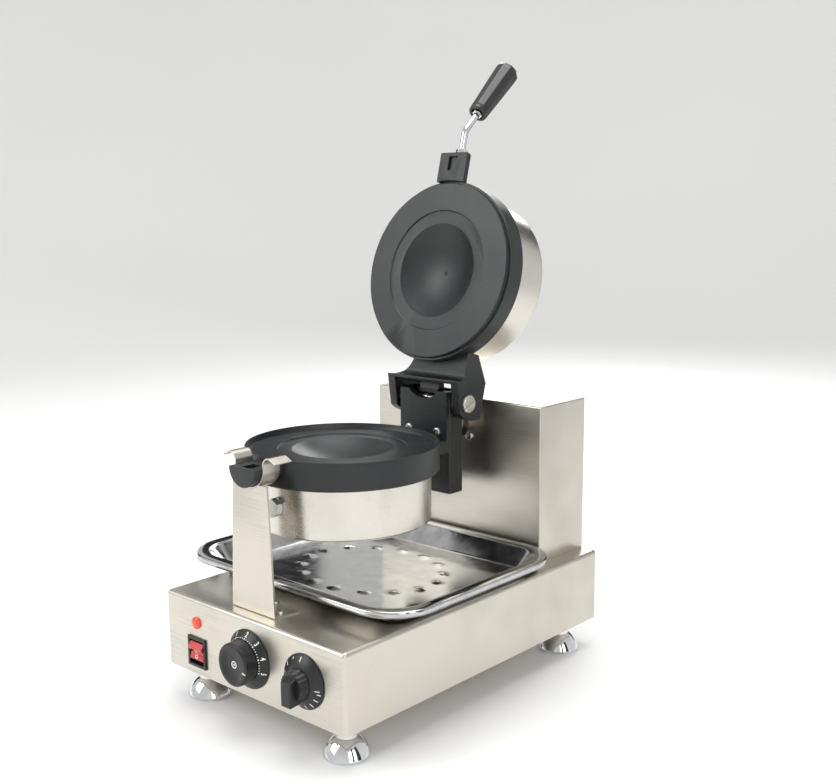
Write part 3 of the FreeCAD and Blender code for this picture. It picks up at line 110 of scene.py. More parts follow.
# Screw sizes as shares of the head's radius.
HEAD_HEIGHT, SHANK_R = 0.7, 0.55


# ------------------------------------------------------------------ settings
class StageSettings(bpy.types.PropertyGroup):
    azimuth: bpy.props.FloatProperty(
        name="Azimuth", description="Camera's turn round the machine, 0 from straight in front",
        default=math.radians(42.06), subtype="ANGLE")
    elevation: bpy.props.FloatProperty(
        name="Elevation", description="Camera's height above the horizon",
        default=math.radians(9.48), subtype="ANGLE")
    roll: bpy.props.FloatProperty(
        name="Roll", description="Camera's lean", default=math.radians(-0.37), subtype="ANGLE")
    lens: bpy.props.FloatProperty(
        name="Lens", description="Focal length in millimetres on a 36 mm sensor", default=48.46)
    place: bpy.props.FloatVectorProperty(
        name="Place", description="Camera's place from the middle of the panel's bottom edge",
        default=(0.7695, -0.6201, 0.4466), subtype="TRANSLATION", unit="LENGTH")
    floor_radius: bpy.props.FloatProperty(
        name="Floor radius", description="Radius of the pale sweep under the machine", default=4.0,
        subtype="DISTANCE", unit="LENGTH")


class FinishSettings(bpy.types.PropertyGroup):
    steel: bpy.props.StringProperty(
        name="Brushed steel", description="sRGB hex of the brushed stainless sheet", default="D3CEC4")
    tray: bpy.props.StringProperty(
        name="Bright steel", description="sRGB hex of the pressed tray", default="CDCDCD")
    coating: bpy.props.StringProperty(
        name="Non-stick", description="sRGB hex of the non-stick coating", default="1A1F21")
    paint: bpy.props.StringProperty(
        name="Black paint", description="sRGB hex of the carrier's paint", default="191A1C")
    moulding: bpy.props.StringProperty(
        name="Black moulding", description="sRGB hex of the knobs and grip", default="17181A")
    rocker: bpy.props.StringProperty(
        name="Rocker red", description="sRGB hex of the rocker", default="C4161C")
    lamp: bpy.props.StringProperty(
        name="Lamp red", description="sRGB hex of the lamp lens", default="EE4A2A")
    edge: bpy.props.FloatProperty(
        name="Edge radius", description="Rounding of sheet and casting edges", default=0.0005,
        subtype="DISTANCE", unit="LENGTH")


class TraySettings(bpy.types.PropertyGroup):
    rim: bpy.props.FloatProperty(
        name="Rim", description="Width of the level rim", default=0.015, subtype="DISTANCE", unit="LENGTH")
    slope: bpy.props.FloatProperty(
        name="Slope", description="Width of the sloping wall", default=0.020, subtype="DISTANCE",
        unit="LENGTH")
    sheet: bpy.props.FloatProperty(
        name="Sheet", description="Sheet thickness", default=0.0008, subtype="DISTANCE", unit="LENGTH")
    corner: bpy.props.FloatProperty(
        name="Corner radius", description="Radius of the rim's corners", default=0.048,
        subtype="DISTANCE", unit="LENGTH")
    dimple: bpy.props.FloatProperty(
        name="Dimple", description="Height of the pressed dimples", default=0.0016, subtype="DISTANCE",
        unit="LENGTH")
    dimples: bpy.props.IntProperty(name="Dimples", description="Dimples in the ring", default=16)


class DialSettings(bpy.types.PropertyGroup):
    numeral: bpy.props.FloatProperty(
        name="Numeral height", description="Height of the dial numerals", default=0.0038,
        subtype="DISTANCE", unit="LENGTH")
    print_lift: bpy.props.FloatProperty(
        name="Print lift", description="How far the print stands off the dial", default=0.00012,
        subtype="DISTANCE", unit="LENGTH")
    timer_steps: bpy.props.IntProperty(name="Timer steps", description="Numbered steps", default=5)


class GripSettings(bpy.types.PropertyGroup):
    flats: bpy.props.IntProperty(name="Flats", description="Flat sides round the grip", default=10)
    edge: bpy.props.FloatProperty(
        name="Flat edge", description="Rounding between two flats", default=0.0009,
        subtype="DISTANCE", unit="LENGTH")


SETTINGS = {"wm_stage": StageSettings, "wm_finish": FinishSettings, "wm_tray": TraySettings,
            "wm_dial": DialSettings, "wm_grip": GripSettings}


# ------------------------------------------------------------------ mesh helpers
def middle(node):
    low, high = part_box(node)
    return (low + high) / 2


def linked(name, bm):
    """Turns a bmesh into an object of the scene."""
    mesh = bpy.data.meshes.new(name)
    bm.to_mesh(mesh)
    bm.free()
    thing = bpy.data.objects.new(name, mesh)
    bpy.context.scene.collection.objects.link(thing)
    return thing


def new_piece(name, bm, body, slot, material, *stands_for, smooth=32):
    """Turns a bmesh into a finished piece that rides a body."""
    piece = linked(name, bm)
    mesh = piece.data
    mesh.polygons.foreach_set("use_smooth", [True] * len(mesh.polygons))
    mesh.set_sharp_from_angle(angle=math.radians(smooth))
    mesh.materials.append(material)
    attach(piece, body)
    if stands_for:
        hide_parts(*stands_for)
    return piece


def soften(piece, width, segments=3, angle=30):
    """Rounds the hard edges of a piece."""
    bevel = piece.modifiers.new("Edge", "BEVEL")
    bevel.width = width
    bevel.segments = segments
    bevel.limit_method = "ANGLE"
    bevel.angle_limit = math.radians(angle)
    bevel.harden_normals = True
    bevel.use_clamp_overlap = True
    return piece


def along(axis):
    """Turns +Z to an axis."""
    return Vector((0, 0, 1)).rotation_difference(Vector(axis)).to_matrix().to_4x4()


def spun(profile, steps, merge):
    """Full turn of (radius, height) points round Z."""
    bm = bmesh.new()
    verts = [bm.verts.new((r, 0, h)) for r, h in profile]
    edges = [bm.edges.new(pair) for pair in zip(verts, verts[1:])]
    bmesh.ops.spin(bm, geom=verts + edges, cent=(0, 0, 0), axis=(0, 0, 1), angle=2 * math.pi,
                   steps=steps, use_merge=True)
    bmesh.ops.remove_doubles(bm, verts=bm.verts, dist=merge)
    return bm


def turned(profile, centre, axis, steps=96):
    """Closed shell of revolution from (radius, height) points in millimetres, placed on an axis."""
    bm = spun([(r * MM, h * MM) for r, h in profile], steps, 2e-6)
    bmesh.ops.recalc_face_normals(bm, faces=bm.faces)
    bmesh.ops.transform(bm, matrix=Matrix.Translation(centre) @ along(axis), verts=bm.verts)
    return bm


def rounded_corner(start, corner, end, steps=4):
    """Points of a soft corner between two neighbours of a profile."""
    points = []
    for i in range(steps + 1):
        t = i / steps
        points.append(tuple((1 - t) ** 2 * a + 2 * t * (1 - t) * b + t * t * c
                            for a, b, c in zip(start, corner, end)))
    return points


def joined(target, source):
    """Adds one bmesh to another."""
    mesh = bpy.data.meshes.new("part")
    source.to_mesh(mesh)
    source.free()
    target.from_mesh(mesh)
    bpy.data.meshes.remove(mesh)


def refined(node, width, slot, material, angle=32):
    """A merged copy of a CAD node with its edges rounded; it stands for the node."""
    bm = bmesh.new()
    bm.from_mesh(NODES[node].data)
    bmesh.ops.remove_doubles(bm, verts=bm.verts, dist=3e-6)
    bmesh.ops.dissolve_limit(bm, angle_limit=math.radians(0.5), use_dissolve_boundaries=False,
                             verts=bm.verts, edges=bm.edges)
    piece = new_piece(node + "_finished", bm, NODES[node]["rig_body"], slot, material, node, smooth=angle)
    return soften(piece, width, segments=2, angle=angle)


def islands(node):
    """The separate solids of a CAD node, each as a list of points, ordered by lowest corner."""
    bm = bmesh.new()
    bm.from_mesh(NODES[node].data)
    bmesh.ops.remove_doubles(bm, verts=bm.verts, dist=3e-6)
    waiting = set(bm.verts)
    groups = []
    while waiting:
        stack = [waiting.pop()]
        found = []
        while stack:
            vert = stack.pop()
            found.append(vert.co.copy())
            for edge in vert.link_edges:
                other = edge.other_vert(vert)
                if other in waiting:
                    waiting.remove(other)
                    stack.append(other)
        groups.append(found)
    bm.free()
    # A set of vertices has no lasting order, so the solids are put in one that every run repeats.
    return sorted(groups, key=lambda points: [round(min(p[i] for p in points), 4) for i in range(3)])


def body_of(node):
    return NODES[node]["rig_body"]


# ------------------------------------------------------------------ material helpers
def linear(code):
    """sRGB hex to linear colour."""
    parts = [int(code[i:i + 2], 16) / 255 for i in (0, 2, 4)]
    return tuple(c / 12.92 if c <= 0.04045 else ((c + 0.055) / 1.055) ** 2.4 for c in parts) + (1.0,)


def add(tree, kind, inputs=None, **settings):
    """Adds a node; inputs maps a socket to a value or to the socket that feeds it."""
    node = tree.nodes.new(kind)
    for name, value in settings.items():
        setattr(node, name, value)
    for socket, value in (inputs or {}).items():
        if isinstance(value, bpy.types.NodeSocket):
            tree.links.new(value, node.inputs[socket])
        else:
            node.inputs[socket].default_value = value
    return node


def new_material(name):
    material = bpy.data.materials.new(name)
    material.use_nodes = True
    tree = material.node_tree
    shader = tree.nodes["Principled BSDF"]
    place_socket = add(tree, "ShaderNodeTexCoord").outputs["Object"]
    return material, tree, shader, place_socket


def per_metre(millimetres):
    """Texture scale whose features are this many millimetres apart."""
    return 1000.0 / millimetres


def tinted(tree, factor, dark, light, low=0.3, high=0.7):
    """Colour ramp between two hex colours."""
    ramp = add(tree, "ShaderNodeValToRGB", {"Fac": factor})
    ramp.color_ramp.elements[0].position = low
    ramp.color_ramp.elements[0].color = linear(dark)
    ramp.color_ramp.elements[1].position = high
    ramp.color_ramp.elements[1].color = linear(light)
    return ramp.outputs["Color"]


def ranged(tree, value, low, high, start=0.3, end=0.7):
    return add(tree, "ShaderNodeMapRange", {"Value": value, "From Min": start, "From Max": end,
                                            "To Min": low, "To Max": high}).outputs["Result"]


def brushed(name, dark, light, line_axis, spin=0.0, rough=(0.30, 0.37), lines=0.45):
    """Stainless sheet brushed one way: fine lines along one axis, with soft cloudy polish marks."""
    material, tree, shader, where = new_material(name)
    # Lines 0.45 mm apart and 60 mm long: drawn coarser than a real 0.1 mm satin so that they show.
    stretch = [per_metre(lines)] * 3
    stretch[line_axis] = per_metre(60.0)
    turned_place = add(tree, "ShaderNodeMapping", {"Vector": where, "Rotation": (spin, 0, 0)})
    grain_place = add(tree, "ShaderNodeMapping", {"Vector": turned_place.outputs["Vector"],
                                                  "Scale": stretch})
    grain = add(tree, "ShaderNodeTexNoise", {"Vector": grain_place.outputs["Vector"], "Scale": 1.0,
                                             "Detail": 3.0, "Roughness": 0.6})
    cloud = add(tree, "ShaderNodeTexNoise", {"Vector": where, "Scale": per_metre(90.0), "Detail": 2.0})
    tone = add(tree, "ShaderNodeMath", {0: cloud.outputs["Fac"], 1: grain.outputs["Fac"]},
               operation="ADD")
    tree.links.new(tinted(tree, tone.outputs[0], dark, light, 0.7, 1.3), shader.inputs["Base Color"])
    tree.links.new(ranged(tree, tone.outputs[0], rough[0], rough[1], 0.7, 1.3),
                   shader.inputs["Roughness"])
    bump = add(tree, "ShaderNodeBump", {"Height": grain.outputs["Fac"], "Strength": 0.05,
                                        "Distance": 0.00003})
    tree.links.new(bump.outputs["Normal"], shader.inputs["Normal"])
    shader.inputs["Metallic"].default_value = 1.0
    return material


def polished(name, dark, light, rough, wave=0.0):
    """Plated or bright-rolled metal: near mirror with faint smears and shallow waviness."""
    material, tree, shader, where = new_material(name)
    smear = add(tree, "ShaderNodeTexNoise", {"Vector": where, "Scale": per_metre(14.0), "Detail": 4.0})
    tree.links.new(tinted(tree, smear.outputs["Fac"], dark, light), shader.inputs["Base Color"])
    tree.links.new(ranged(tree, smear.outputs["Fac"], rough * 0.7, rough * 1.5),
                   shader.inputs["Roughness"])
    swell = add(tree, "ShaderNodeTexNoise", {"Vector": where, "Scale": per_metre(40.0), "Detail": 1.0})
    bump = add(tree, "ShaderNodeBump", {"Height": swell.outputs["Fac"], "Strength": wave,
                                        "Distance": 0.002})
    tree.links.new(bump.outputs["Normal"], shader.inputs["Normal"])
    shader.inputs["Metallic"].default_value = 1.0
    return material


def grained(name, dark, light, grain_mm, depth_mm, rough, metallic=0.0, specular=0.5, coat=0.0):
    """Moulded, cast or coated surface: pebbled grain in the bump, speckle in the colour."""
    material, tree, shader, where = new_material(name)
    pebble = add(tree, "ShaderNodeTexNoise", {"Vector": where, "Scale": per_metre(grain_mm),
                                              "Detail": 3.0, "Roughness": 0.55})
    patch = add(tree, "ShaderNodeTexNoise", {"Vector": where, "Scale": per_metre(45.0), "Detail": 3.0})
    tone = add(tree, "ShaderNodeMath", {0: pebble.outputs["Fac"], 1: patch.outputs["Fac"]},
               operation="ADD")
    tree.links.new(tinted(tree, tone.outputs[0], dark, light, 0.75, 1.25), shader.inputs["Base Color"])
    tree.links.new(ranged(tree, patch.outputs["Fac"], rough[0], rough[1]), shader.inputs["Roughness"])
    bump = add(tree, "ShaderNodeBump", {"Height": pebble.outputs["Fac"], "Strength": 0.6,
                                        "Distance": depth_mm * MM})
    tree.links.new(bump.outputs["Normal"], shader.inputs["Normal"])
    shader.inputs["Metallic"].default_value = metallic
    shader.inputs["Specular IOR Level"].default_value = specular
    shader.inputs["Coat Weight"].default_value = coat
    shader.inputs["Coat Roughness"].default_value = 0.08
    return material


def build_materials(finish):
    """Every finish on the machine, by a maker's name."""
    made = {}
    # Satin stainless sheet: lines run along the panel, pale and slightly warm.
    made["sheet_x"] = brushed("brushed_stainless_sheet", "BDB8AE", finish.steel, 0)
    # The drums are brushed round, so the lines lie across the drum's axis.
    made["drum_low"] = brushed("brushed_stainless_drum", "B4B0A9", "DAD6CE", 0, rough=(0.24, 0.30))
    made["drum_lid"] = brushed("brushed_stainless_lid_drum", "B4B0A9", "DAD6CE", 0, LID_OPEN,
                               rough=(0.24, 0.30))
    # Bright rolled and pressed stainless: almost a mirror, slightly wavy from the press.
    made["tray"] = polished("bright_pressed_stainless", "B4B5B6", finish.tray, 0.13, 0.12)
    # Bright zinc on small fasteners: soft reflections, a touch of grey.
    made["zinc"] = polished("bright_zinc_plate", "BEBEBB", "DEDDD9", 0.30)
    # Polished chrome on the bell feet and rod: deep mirror contrast.
    made["chrome"] = polished("polished_chrome", "D4D6DA", "EDEEF0", 0.05)
    # Non-stick coating on cast aluminium: dark green-grey pebble with a soft sheen.  The pebbles are
    # drawn 1.5 mm apart, coarser than the real 0.5 mm, so that they show.
    made["coating"] = grained("nonstick_coated_casting", "0E1112", finish.coating, 1.5, 0.16,
                              (0.36, 0.46), specular=0.55)
    # Satin stove paint: even black with slight orange peel.
    made["paint"] = grained("satin_black_stove_paint", "111214", finish.paint, 1.6, 0.03, (0.34, 0.44))
    # Black ABS: fine spark-eroded grain, soft highlight.
    made["moulding"] = grained("moulded_black_abs", "111214", finish.moulding, 0.5, 0.03, (0.34, 0.44))
    # Bakelite grip: harder gloss on its flats.
    made["bakelite"] = grained("moulded_black_bakelite", "101113", "1C1D20", 1.2, 0.02, (0.26, 0.34),
                               specular=0.6, coat=0.2)
    # Glossy red polycarbonate rocker.
    made["red"] = grained("glossy_red_polycarbonate", "A50F14", finish.rocker, 2.5, 0.01,
                          (0.16, 0.24), coat=0.6)
    # Orange-red lamp lens, faceted inside, with a clear skin.
    made["lamp"] = grained("lamp_lens_acrylic", "D8361C", finish.lamp, 1.8, 0.12, (0.16, 0.24), coat=0.6)
    glow = made["lamp"].node_tree.nodes["Principled BSDF"].inputs
    glow["Emission Color"].default_value = linear("F04A28")
    glow["Emission Strength"].default_value = 0.06
    # White pad print on the dials.
    made["print"] = grained("white_pad_print", "D9D9D6", "F2F2EF", 0.6, 0.01, (0.45, 0.55))
    # As-cast aluminium bearing housing.
    made["cast"] = grained("as_cast_aluminium", "8E8F90", "A9AAAA", 1.4, 0.12, (0.42, 0.55), metallic=1.0)
    # Oil-soaked sintered bronze bush: dark brown, dull shine.
    made["bronze"] = polished("oiled_sintered_bronze", "5C5046", "77695A", 0.40)
    # Heat-tinted steel sheath of the elements.
    made["sheath"] = grained("heat_tinted_sheath", "57504A", "7A7065", 2.0, 0.04, (0.38, 0.5),
                             metallic=1.0)
    # Moulded grey phenolic of the control bodies.
    made["phenolic"] = grained("moulded_grey_phenolic", "5B5C5B", "6E6F6D", 0.8, 0.04, (0.45, 0.58))
    return made


MATERIALS = {}


# ------------------------------------------------------------------ pieces
class WM_OT_finishes(bpy.types.Operator):
    """Gives every carried-over CAD node its finish"""
    bl_idname = "wafflemaker.finishes"
    bl_label = "Finishes"

    def execute(self, context):
        MATERIALS.update(build_materials(context.scene.wm_finish))
        by_slot = {"stainless": "sheet_x", "bright_steel": "zinc", "chrome_feet": "chrome",
                   "nonstick": "coating", "black_paint": "paint", "housing_grey": "cast",
                   "bush_bronze": "bronze", "heater_sheath": "sheath", "black_plastic": "moulding",
                   "red_plastic": "red", "lamp_red": "lamp", "control_grey": "phenolic"}
        for part in frame["record"]["subparts"]:
            node = NODES[part["node"]]
            material = MATERIALS[by_slot[part["material_slot"]]]
            for slot in node.material_slots:
                slot.material = material
        for name in ("handle_rod", "rod_nut", "grip_nut"):
            NODES[name].material_slots[0].material = MATERIALS["chrome"]
        return {"FINISHED"}


class WM_OT_sheet_metal(bpy.types.Operator):
    """Box, column and support with softly folded edges"""
    bl_idname = "wafflemaker.sheet_metal"
    bl_label = "Sheet metal"

    def execute(self, context):
        edge = context.scene.wm_finish.edge
        for node in ("control_box", "column_shell", "column_back", "support_plate", "saddle"):
            refined(node, edge * 0.6, "stainless", MATERIALS["sheet_x"])
        return {"FINISHED"}


class WM_OT_castings(bpy.types.Operator):
    """Coated pans and painted carrier with rounded casting edges"""
    bl_idname = "wafflemaker.castings"
    bl_label = "Castings"

    def execute(self, context):
        edge = context.scene.wm_finish.edge
        refined("lower_pan", edge, "nonstick", MATERIALS["coating"], 28)
        refined("upper_pan", edge, "nonstick", MATERIALS["coating"], 28)
        refined("carrier_channel", edge, "black_paint", MATERIALS["paint"])
        return {"FINISHED"}


def drum_shell(node, outward):
    """Drum wall with a hemmed end at its outward side, with its base, radius and length."""
    points = [v.co for v in NODES[node].data.vertices]
    heights = [p.dot(outward) for p in points]
    length = (max(heights) - min(heights)) / MM
    base = middle(node) - outward * (length * MM / 2)
    low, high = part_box(node)
    radius = (high.x - low.x) / 2 / MM
    hem = rounded_corner((radius, length - HEM), (radius, length), (radius - HEM, length))
    inside = rounded_corner((radius - 2.6, length - 0.4), (radius - 2.6, length - 2.6),
                            (radius - 1.0, length - 3.4))
    profile = [(radius - 1.0, 0.0), (radius, 0.0)] + hem + inside + [(radius - 1.0, 0.0)]
    return turned(profile, base, outward, 160), base, radius, length


class WM_OT_drums(bpy.types.Operator):
    """Heater drums with hemmed ends and a lapped seam"""
    bl_idname = "wafflemaker.drums"
    bl_label = "Drums"

    def execute(self, context):
        for node, outward, key in (("lower_drum", -UP, "drum_low"), ("upper_drum", LID_UP, "drum_lid")):
            shell, base, radius, length = drum_shell(node, outward)
            seam = bmesh.new()
            strip = [seam.verts.new((0, -radius * MM, h * MM)) for h in (9.0, length - 3.0)]
            edge = seam.edges.new(strip)
            bmesh.ops.spin(seam, geom=strip + [edge], cent=(0, 0, 0), axis=(0, 0, 1),
                           angle=SEAM_WIDTH, steps=6)
            bmesh.ops.solidify(seam, geom=seam.faces[:] + seam.edges[:] + seam.verts[:], thickness=-0.00025)
            bmesh.ops.rotate(seam, verts=seam.verts, matrix=Matrix.Rotation(SEAM_TURN, 3, "Z"))
            bmesh.ops.transform(seam, matrix=Matrix.Translation(base) @ along(outward), verts=seam.verts)
            joined(shell, seam)
            new_piece(node + "_wall", shell, body_of(node), "stainless", MATERIALS[key], node)
        return {"FINISHED"}


class WM_OT_tray(bpy.types.Operator):
    """Pressed drip tray with a rolled rim and a ring of dimples"""
    bl_idname = "wafflemaker.tray"
    bl_label = "Drip tray"

    def execute(self, context):
        tray = context.scene.wm_tray
        low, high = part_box("drip_tray")
        centre = (low + high) / 2
        bm = bmesh.new()
        rim = bmesh.ops.create_grid(bm, x_segments=1, y_segments=1, size=0.5)["verts"]
        bmesh.ops.scale(bm, vec=(high.x - low.x, high.y - low.y, 1), verts=rim)
        bmesh.ops.translate(bm, vec=(centre.x, centre.y, high.z - 0.006), verts=rim)
        bmesh.ops.bevel(bm, geom=rim, offset=tray.corner, segments=14, affect="VERTICES", profile=0.5,
                        material=-1)
        bm.faces.ensure_lookup_table()
        face = bm.faces[0]
        wall = [(0.0, 0.0042), (0.0005, 0.0012), (0.0013, 0.0006)]
        rim_top = [(tray.rim - 0.0058, 0.0), (0.0016, -0.0004), (0.0024, -0.0022)]
        slope = [(tray.slope - 0.0080, -(high.z - low.z) + 0.0062), (0.0024, -0.0014), (0.0022, -0.0004),
                 (0.0020, 0.0)]
        for thickness, rise in wall + rim_top + slope:
            bmesh.ops.inset_individual(bm, faces=[face], thickness=thickness or 1e-6, depth=rise,
                                       use_even_offset=True)
        self.cut_floor(bm, face, low, high, tray)
        bmesh.ops.recalc_face_normals(bm, faces=bm.faces)
        if face.is_valid and face.normal.z < 0:
            bmesh.ops.reverse_faces(bm, faces=bm.faces)
        piece = new_piece("drip_tray_pressed", bm, "tray", "stainless", MATERIALS["tray"], "drip_tray",
                          smooth=60)
        solid = piece.modifiers.new("Sheet", "SOLIDIFY")
        solid.thickness = tray.sheet
        solid.offset = -1.0
        return {"FINISHED"}

    def cut_floor(self, bm, face, low, high, tray):
        """Divides the floor finely and presses the dimples up."""
        floor_z = face.calc_center_median().z
        for axis, start, end in ((0, low.x, high.x), (1, low.y, high.y)):
            count = int((end - start) / FLOOR_PITCH)
            for i in range(1, count):
                at = [0.0, 0.0, 0.0]
                at[axis] = start + i * FLOOR_PITCH
                normal = [0.0, 0.0, 0.0]
                normal[axis] = 1.0
                level = [f for f in bm.faces if abs(f.calc_center_median().z - floor_z) < 1e-6]
                edges, verts = ({e for f in level for e in f.edges}, {v for f in level for v in f.verts})
                geom = level + list(edges) + list(verts)
                bmesh.ops.bisect_plane(bm, geom=geom, dist=1e-6, plane_co=at, plane_no=normal)
        centre = (low + high) / 2
        half = Vector(((high.x - low.x) / 2, (high.y - low.y) / 2, 0))
        inner = {v for f in bm.faces if abs(f.calc_center_median().z - floor_z) < 1e-6 for v in f.verts}
        for i in range(tray.dimples):
            turn = 2 * math.pi * (i + 0.5) / tray.dimples
            spot = centre + Vector((math.cos(turn) * half.x * DIMPLE_RING,
                                    math.sin(turn) * half.y * DIMPLE_RING, 0))
            for vert in inner:
                reach = math.hypot((vert.co.x - spot.x) / DIMPLE_SPREAD[0],
                                   (vert.co.y - spot.y) / DIMPLE_SPREAD[1])
                if reach < 1.0:
                    vert.co.z = floor_z + tray.dimple * 0.5 * (1 + math.cos(math.pi * reach))


def screw_mesh():
    """Pan head of unit radius with a cross recess, its seat at zero height and its top towards +Z."""
    dome = [(1.0, 0.0)] + rounded_corner((1.0, 0.28), (0.98, 0.62), (0.62, 0.66)) + [(0.0, 0.70)]
    head = spun([(0.0, -0.05), (1.0, -0.05)] + dome, 32, 1e-4)
    bmesh.ops.recalc_face_normals(head, faces=head.faces)
    cutter = bmesh.new()
    for size in ((1.16, 0.22, 0.7), (0.22, 1.16, 0.7)):
        made = bmesh.ops.create_cube(cutter, size=1.0)["verts"]
        bmesh.ops.scale(cutter, vec=size, verts=made)
        bmesh.ops.translate(cutter, vec=(0, 0, 0.66), verts=made)
    objects = []
    for name, bm in (("head", head), ("cutter", cutter)):
        objects.append(linked(name, bm))
    cut = objects[0].modifiers.new("Recess", "BOOLEAN")
    cut.object = objects[1]
    cut.operation = "DIFFERENCE"
    cut.solver = "EXACT"
    cut.use_self = True
    bpy.context.view_layer.update()
    shape = bpy.data.meshes.new_from_object(objects[0].evaluated_get(bpy.context.evaluated_depsgraph_get()))
    for thing in objects:
        bpy.data.objects.remove(thing)
    return shape


class WM_OT_screws(bpy.types.Operator):
    """Cross-recessed pan heads in place of the plain screws"""
    bl_idname = "wafflemaker.screws"
    bl_label = "Screws"

    def execute(self, context):
        master = screw_mesh()
        groups = {"plate_screws": (FORWARD,), "bearing_screws": (FORWARD,),
                  "support_screws": (UP,), "column_back_screws": (-FORWARD,),
                  "bottom_screws": (-UP,), "lower_cover_screws": (-UP,), "upper_cover_screws": (LID_UP,),
                  "channel_screws": (Vector((1, 0, 0)), Vector((-1, 0, 0)))}
        for node, axes in groups.items():
            bm = bmesh.new()
            for number, points in enumerate(islands(node)):
                self.add_screw(bm, master, node, points, axes, number)
            new_piece(node + "_crossed", bm, body_of(node), "bright_steel", MATERIALS["zinc"], node)
        return {"FINISHED"}

    def add_screw(self, bm, master, node, points, axes, number):
        """One head and its shank where the CAD screw is."""
        centre = sum(points, Vector()) / len(points)
        axis = axes[0]
        if len(axes) == 2 and centre.x < middle(node).x:
            axis = axes[1]
        side = axis.orthogonal().normalized()
        other = axis.cross(side)
        spans = [(min(p.dot(d) for p in points), max(p.dot(d) for p in points)) for d in (side, other, axis)]
        radius = (spans[0][1] - spans[0][0]) / 2
        height = max(spans[2]) - radius * HEAD_HEIGHT
        base = side * sum(spans[0]) / 2 + other * sum(spans[1]) / 2 + axis * height
        turn = Matrix.Rotation(math.radians(25 + 37 * number), 4, "Z")
        matrix = Matrix.Translation(base) @ along(axis) @ turn @ Matrix.Scale(radius, 4)
        head = bmesh.new()
        head.from_mesh(master)
        bmesh.ops.transform(head, matrix=matrix, verts=head.verts)
        joined(bm, head)
        shank = spans[2][1] - spans[2][0] - radius * HEAD_HEIGHT
        rod = bmesh.new()
        bmesh.ops.create_cone(rod, cap_ends=True, segments=20, radius1=radius * SHANK_R,
                              radius2=radius * SHANK_R, depth=shank)
        bmesh.ops.transform(rod, matrix=Matrix.Translation(base - axis * shank / 2) @ along(axis),
                            verts=rod.verts)
        joined(bm, rod)


# ------------------------------------------------------------------ dials and knobs
def dial_cone(node):
    """Middle of a dial on the panel, and its skirt's radius in millimetres."""
    low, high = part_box(node)
    centre = Vector(((low.x + high.x) / 2, PANEL_FOOT.y, (low.z + high.z) / 2))
    return centre, (high.z - low.z) / 2 / MM


def print_on_cone(bm, centre, clock, radius, rim, hub, settings):
    """Lays flat artwork, drawn about the origin in millimetres, on a dial's cone at a clock angle."""
    outward = Vector((math.sin(clock), 0, math.cos(clock)))
    across = Vector((math.cos(clock), 0, -math.sin(clock)))
    for vert in bm.verts:
        x, y, lift = vert.co
        far = math.hypot(radius + y, x)
        share = (rim[0] - far) / (rim[0] - hub[0])
        height = rim[1] + (hub[1] - rim[1]) * share + lift + settings.print_lift / MM
        vert.co = centre + (outward * (radius + y) + across * x + FORWARD * height) * MM


def bar_art(width, length):
    bm = bmesh.new()
    bmesh.ops.create_grid(bm, x_segments=2, y_segments=4, size=0.5)
    bmesh.ops.scale(bm, vec=(width, length, 1), verts=bm.verts)
    return bm


def dot_art(radius):
    bm = bmesh.new()
    bmesh.ops.create_circle(bm, cap_ends=True, segments=14, radius=radius)
    return bm


def text_art(letters, height):
    """Numeral outline as a flat mesh, centred, in millimetres."""
    curve = bpy.data.curves.new("numeral", "FONT")
    curve.body = letters
    curve.size = height * 1.4
    curve.align_x = "CENTER"
    curve.align_y = "CENTER"
    curve.offset = 0.12
    thing = bpy.data.objects.new("numeral", curve)
    bpy.context.scene.collection.objects.link(thing)
    bpy.context.view_layer.update()
    mesh = bpy.data.meshes.new_from_object(thing.evaluated_get(bpy.context.evaluated_depsgraph_get()))
    bpy.data.objects.remove(thing)
    bm = bmesh.new()
    bm.from_mesh(mesh)
    return bm


def thickened(bm):
    """Gives flat print its ink thickness, outward to the front."""
    bmesh.ops.recalc_face_normals(bm, faces=bm.faces)
    for face in bm.faces:
        if face.normal.y > 0:
            face.normal_flip()
    raised = bmesh.ops.extrude_face_region(bm, geom=bm.faces[:])
    verts = [g for g in raised["geom"] if isinstance(g, bmesh.types.BMVert)]
    bmesh.ops.translate(bm, vec=FORWARD * 0.00008, verts=verts)
    bmesh.ops.recalc_face_normals(bm, faces=bm.faces)
    return bm


def printed(settings, centre, rim, hub, marks):
    """All the marks of a dial: each is (artwork, clock angle in degrees, radius)."""
    sheet = bmesh.new()
    for art, clock, radius in marks:
        print_on_cone(art, centre, math.radians(clock), radius, rim, hub, settings)
        joined(sheet, art)
    return thickened(sheet)


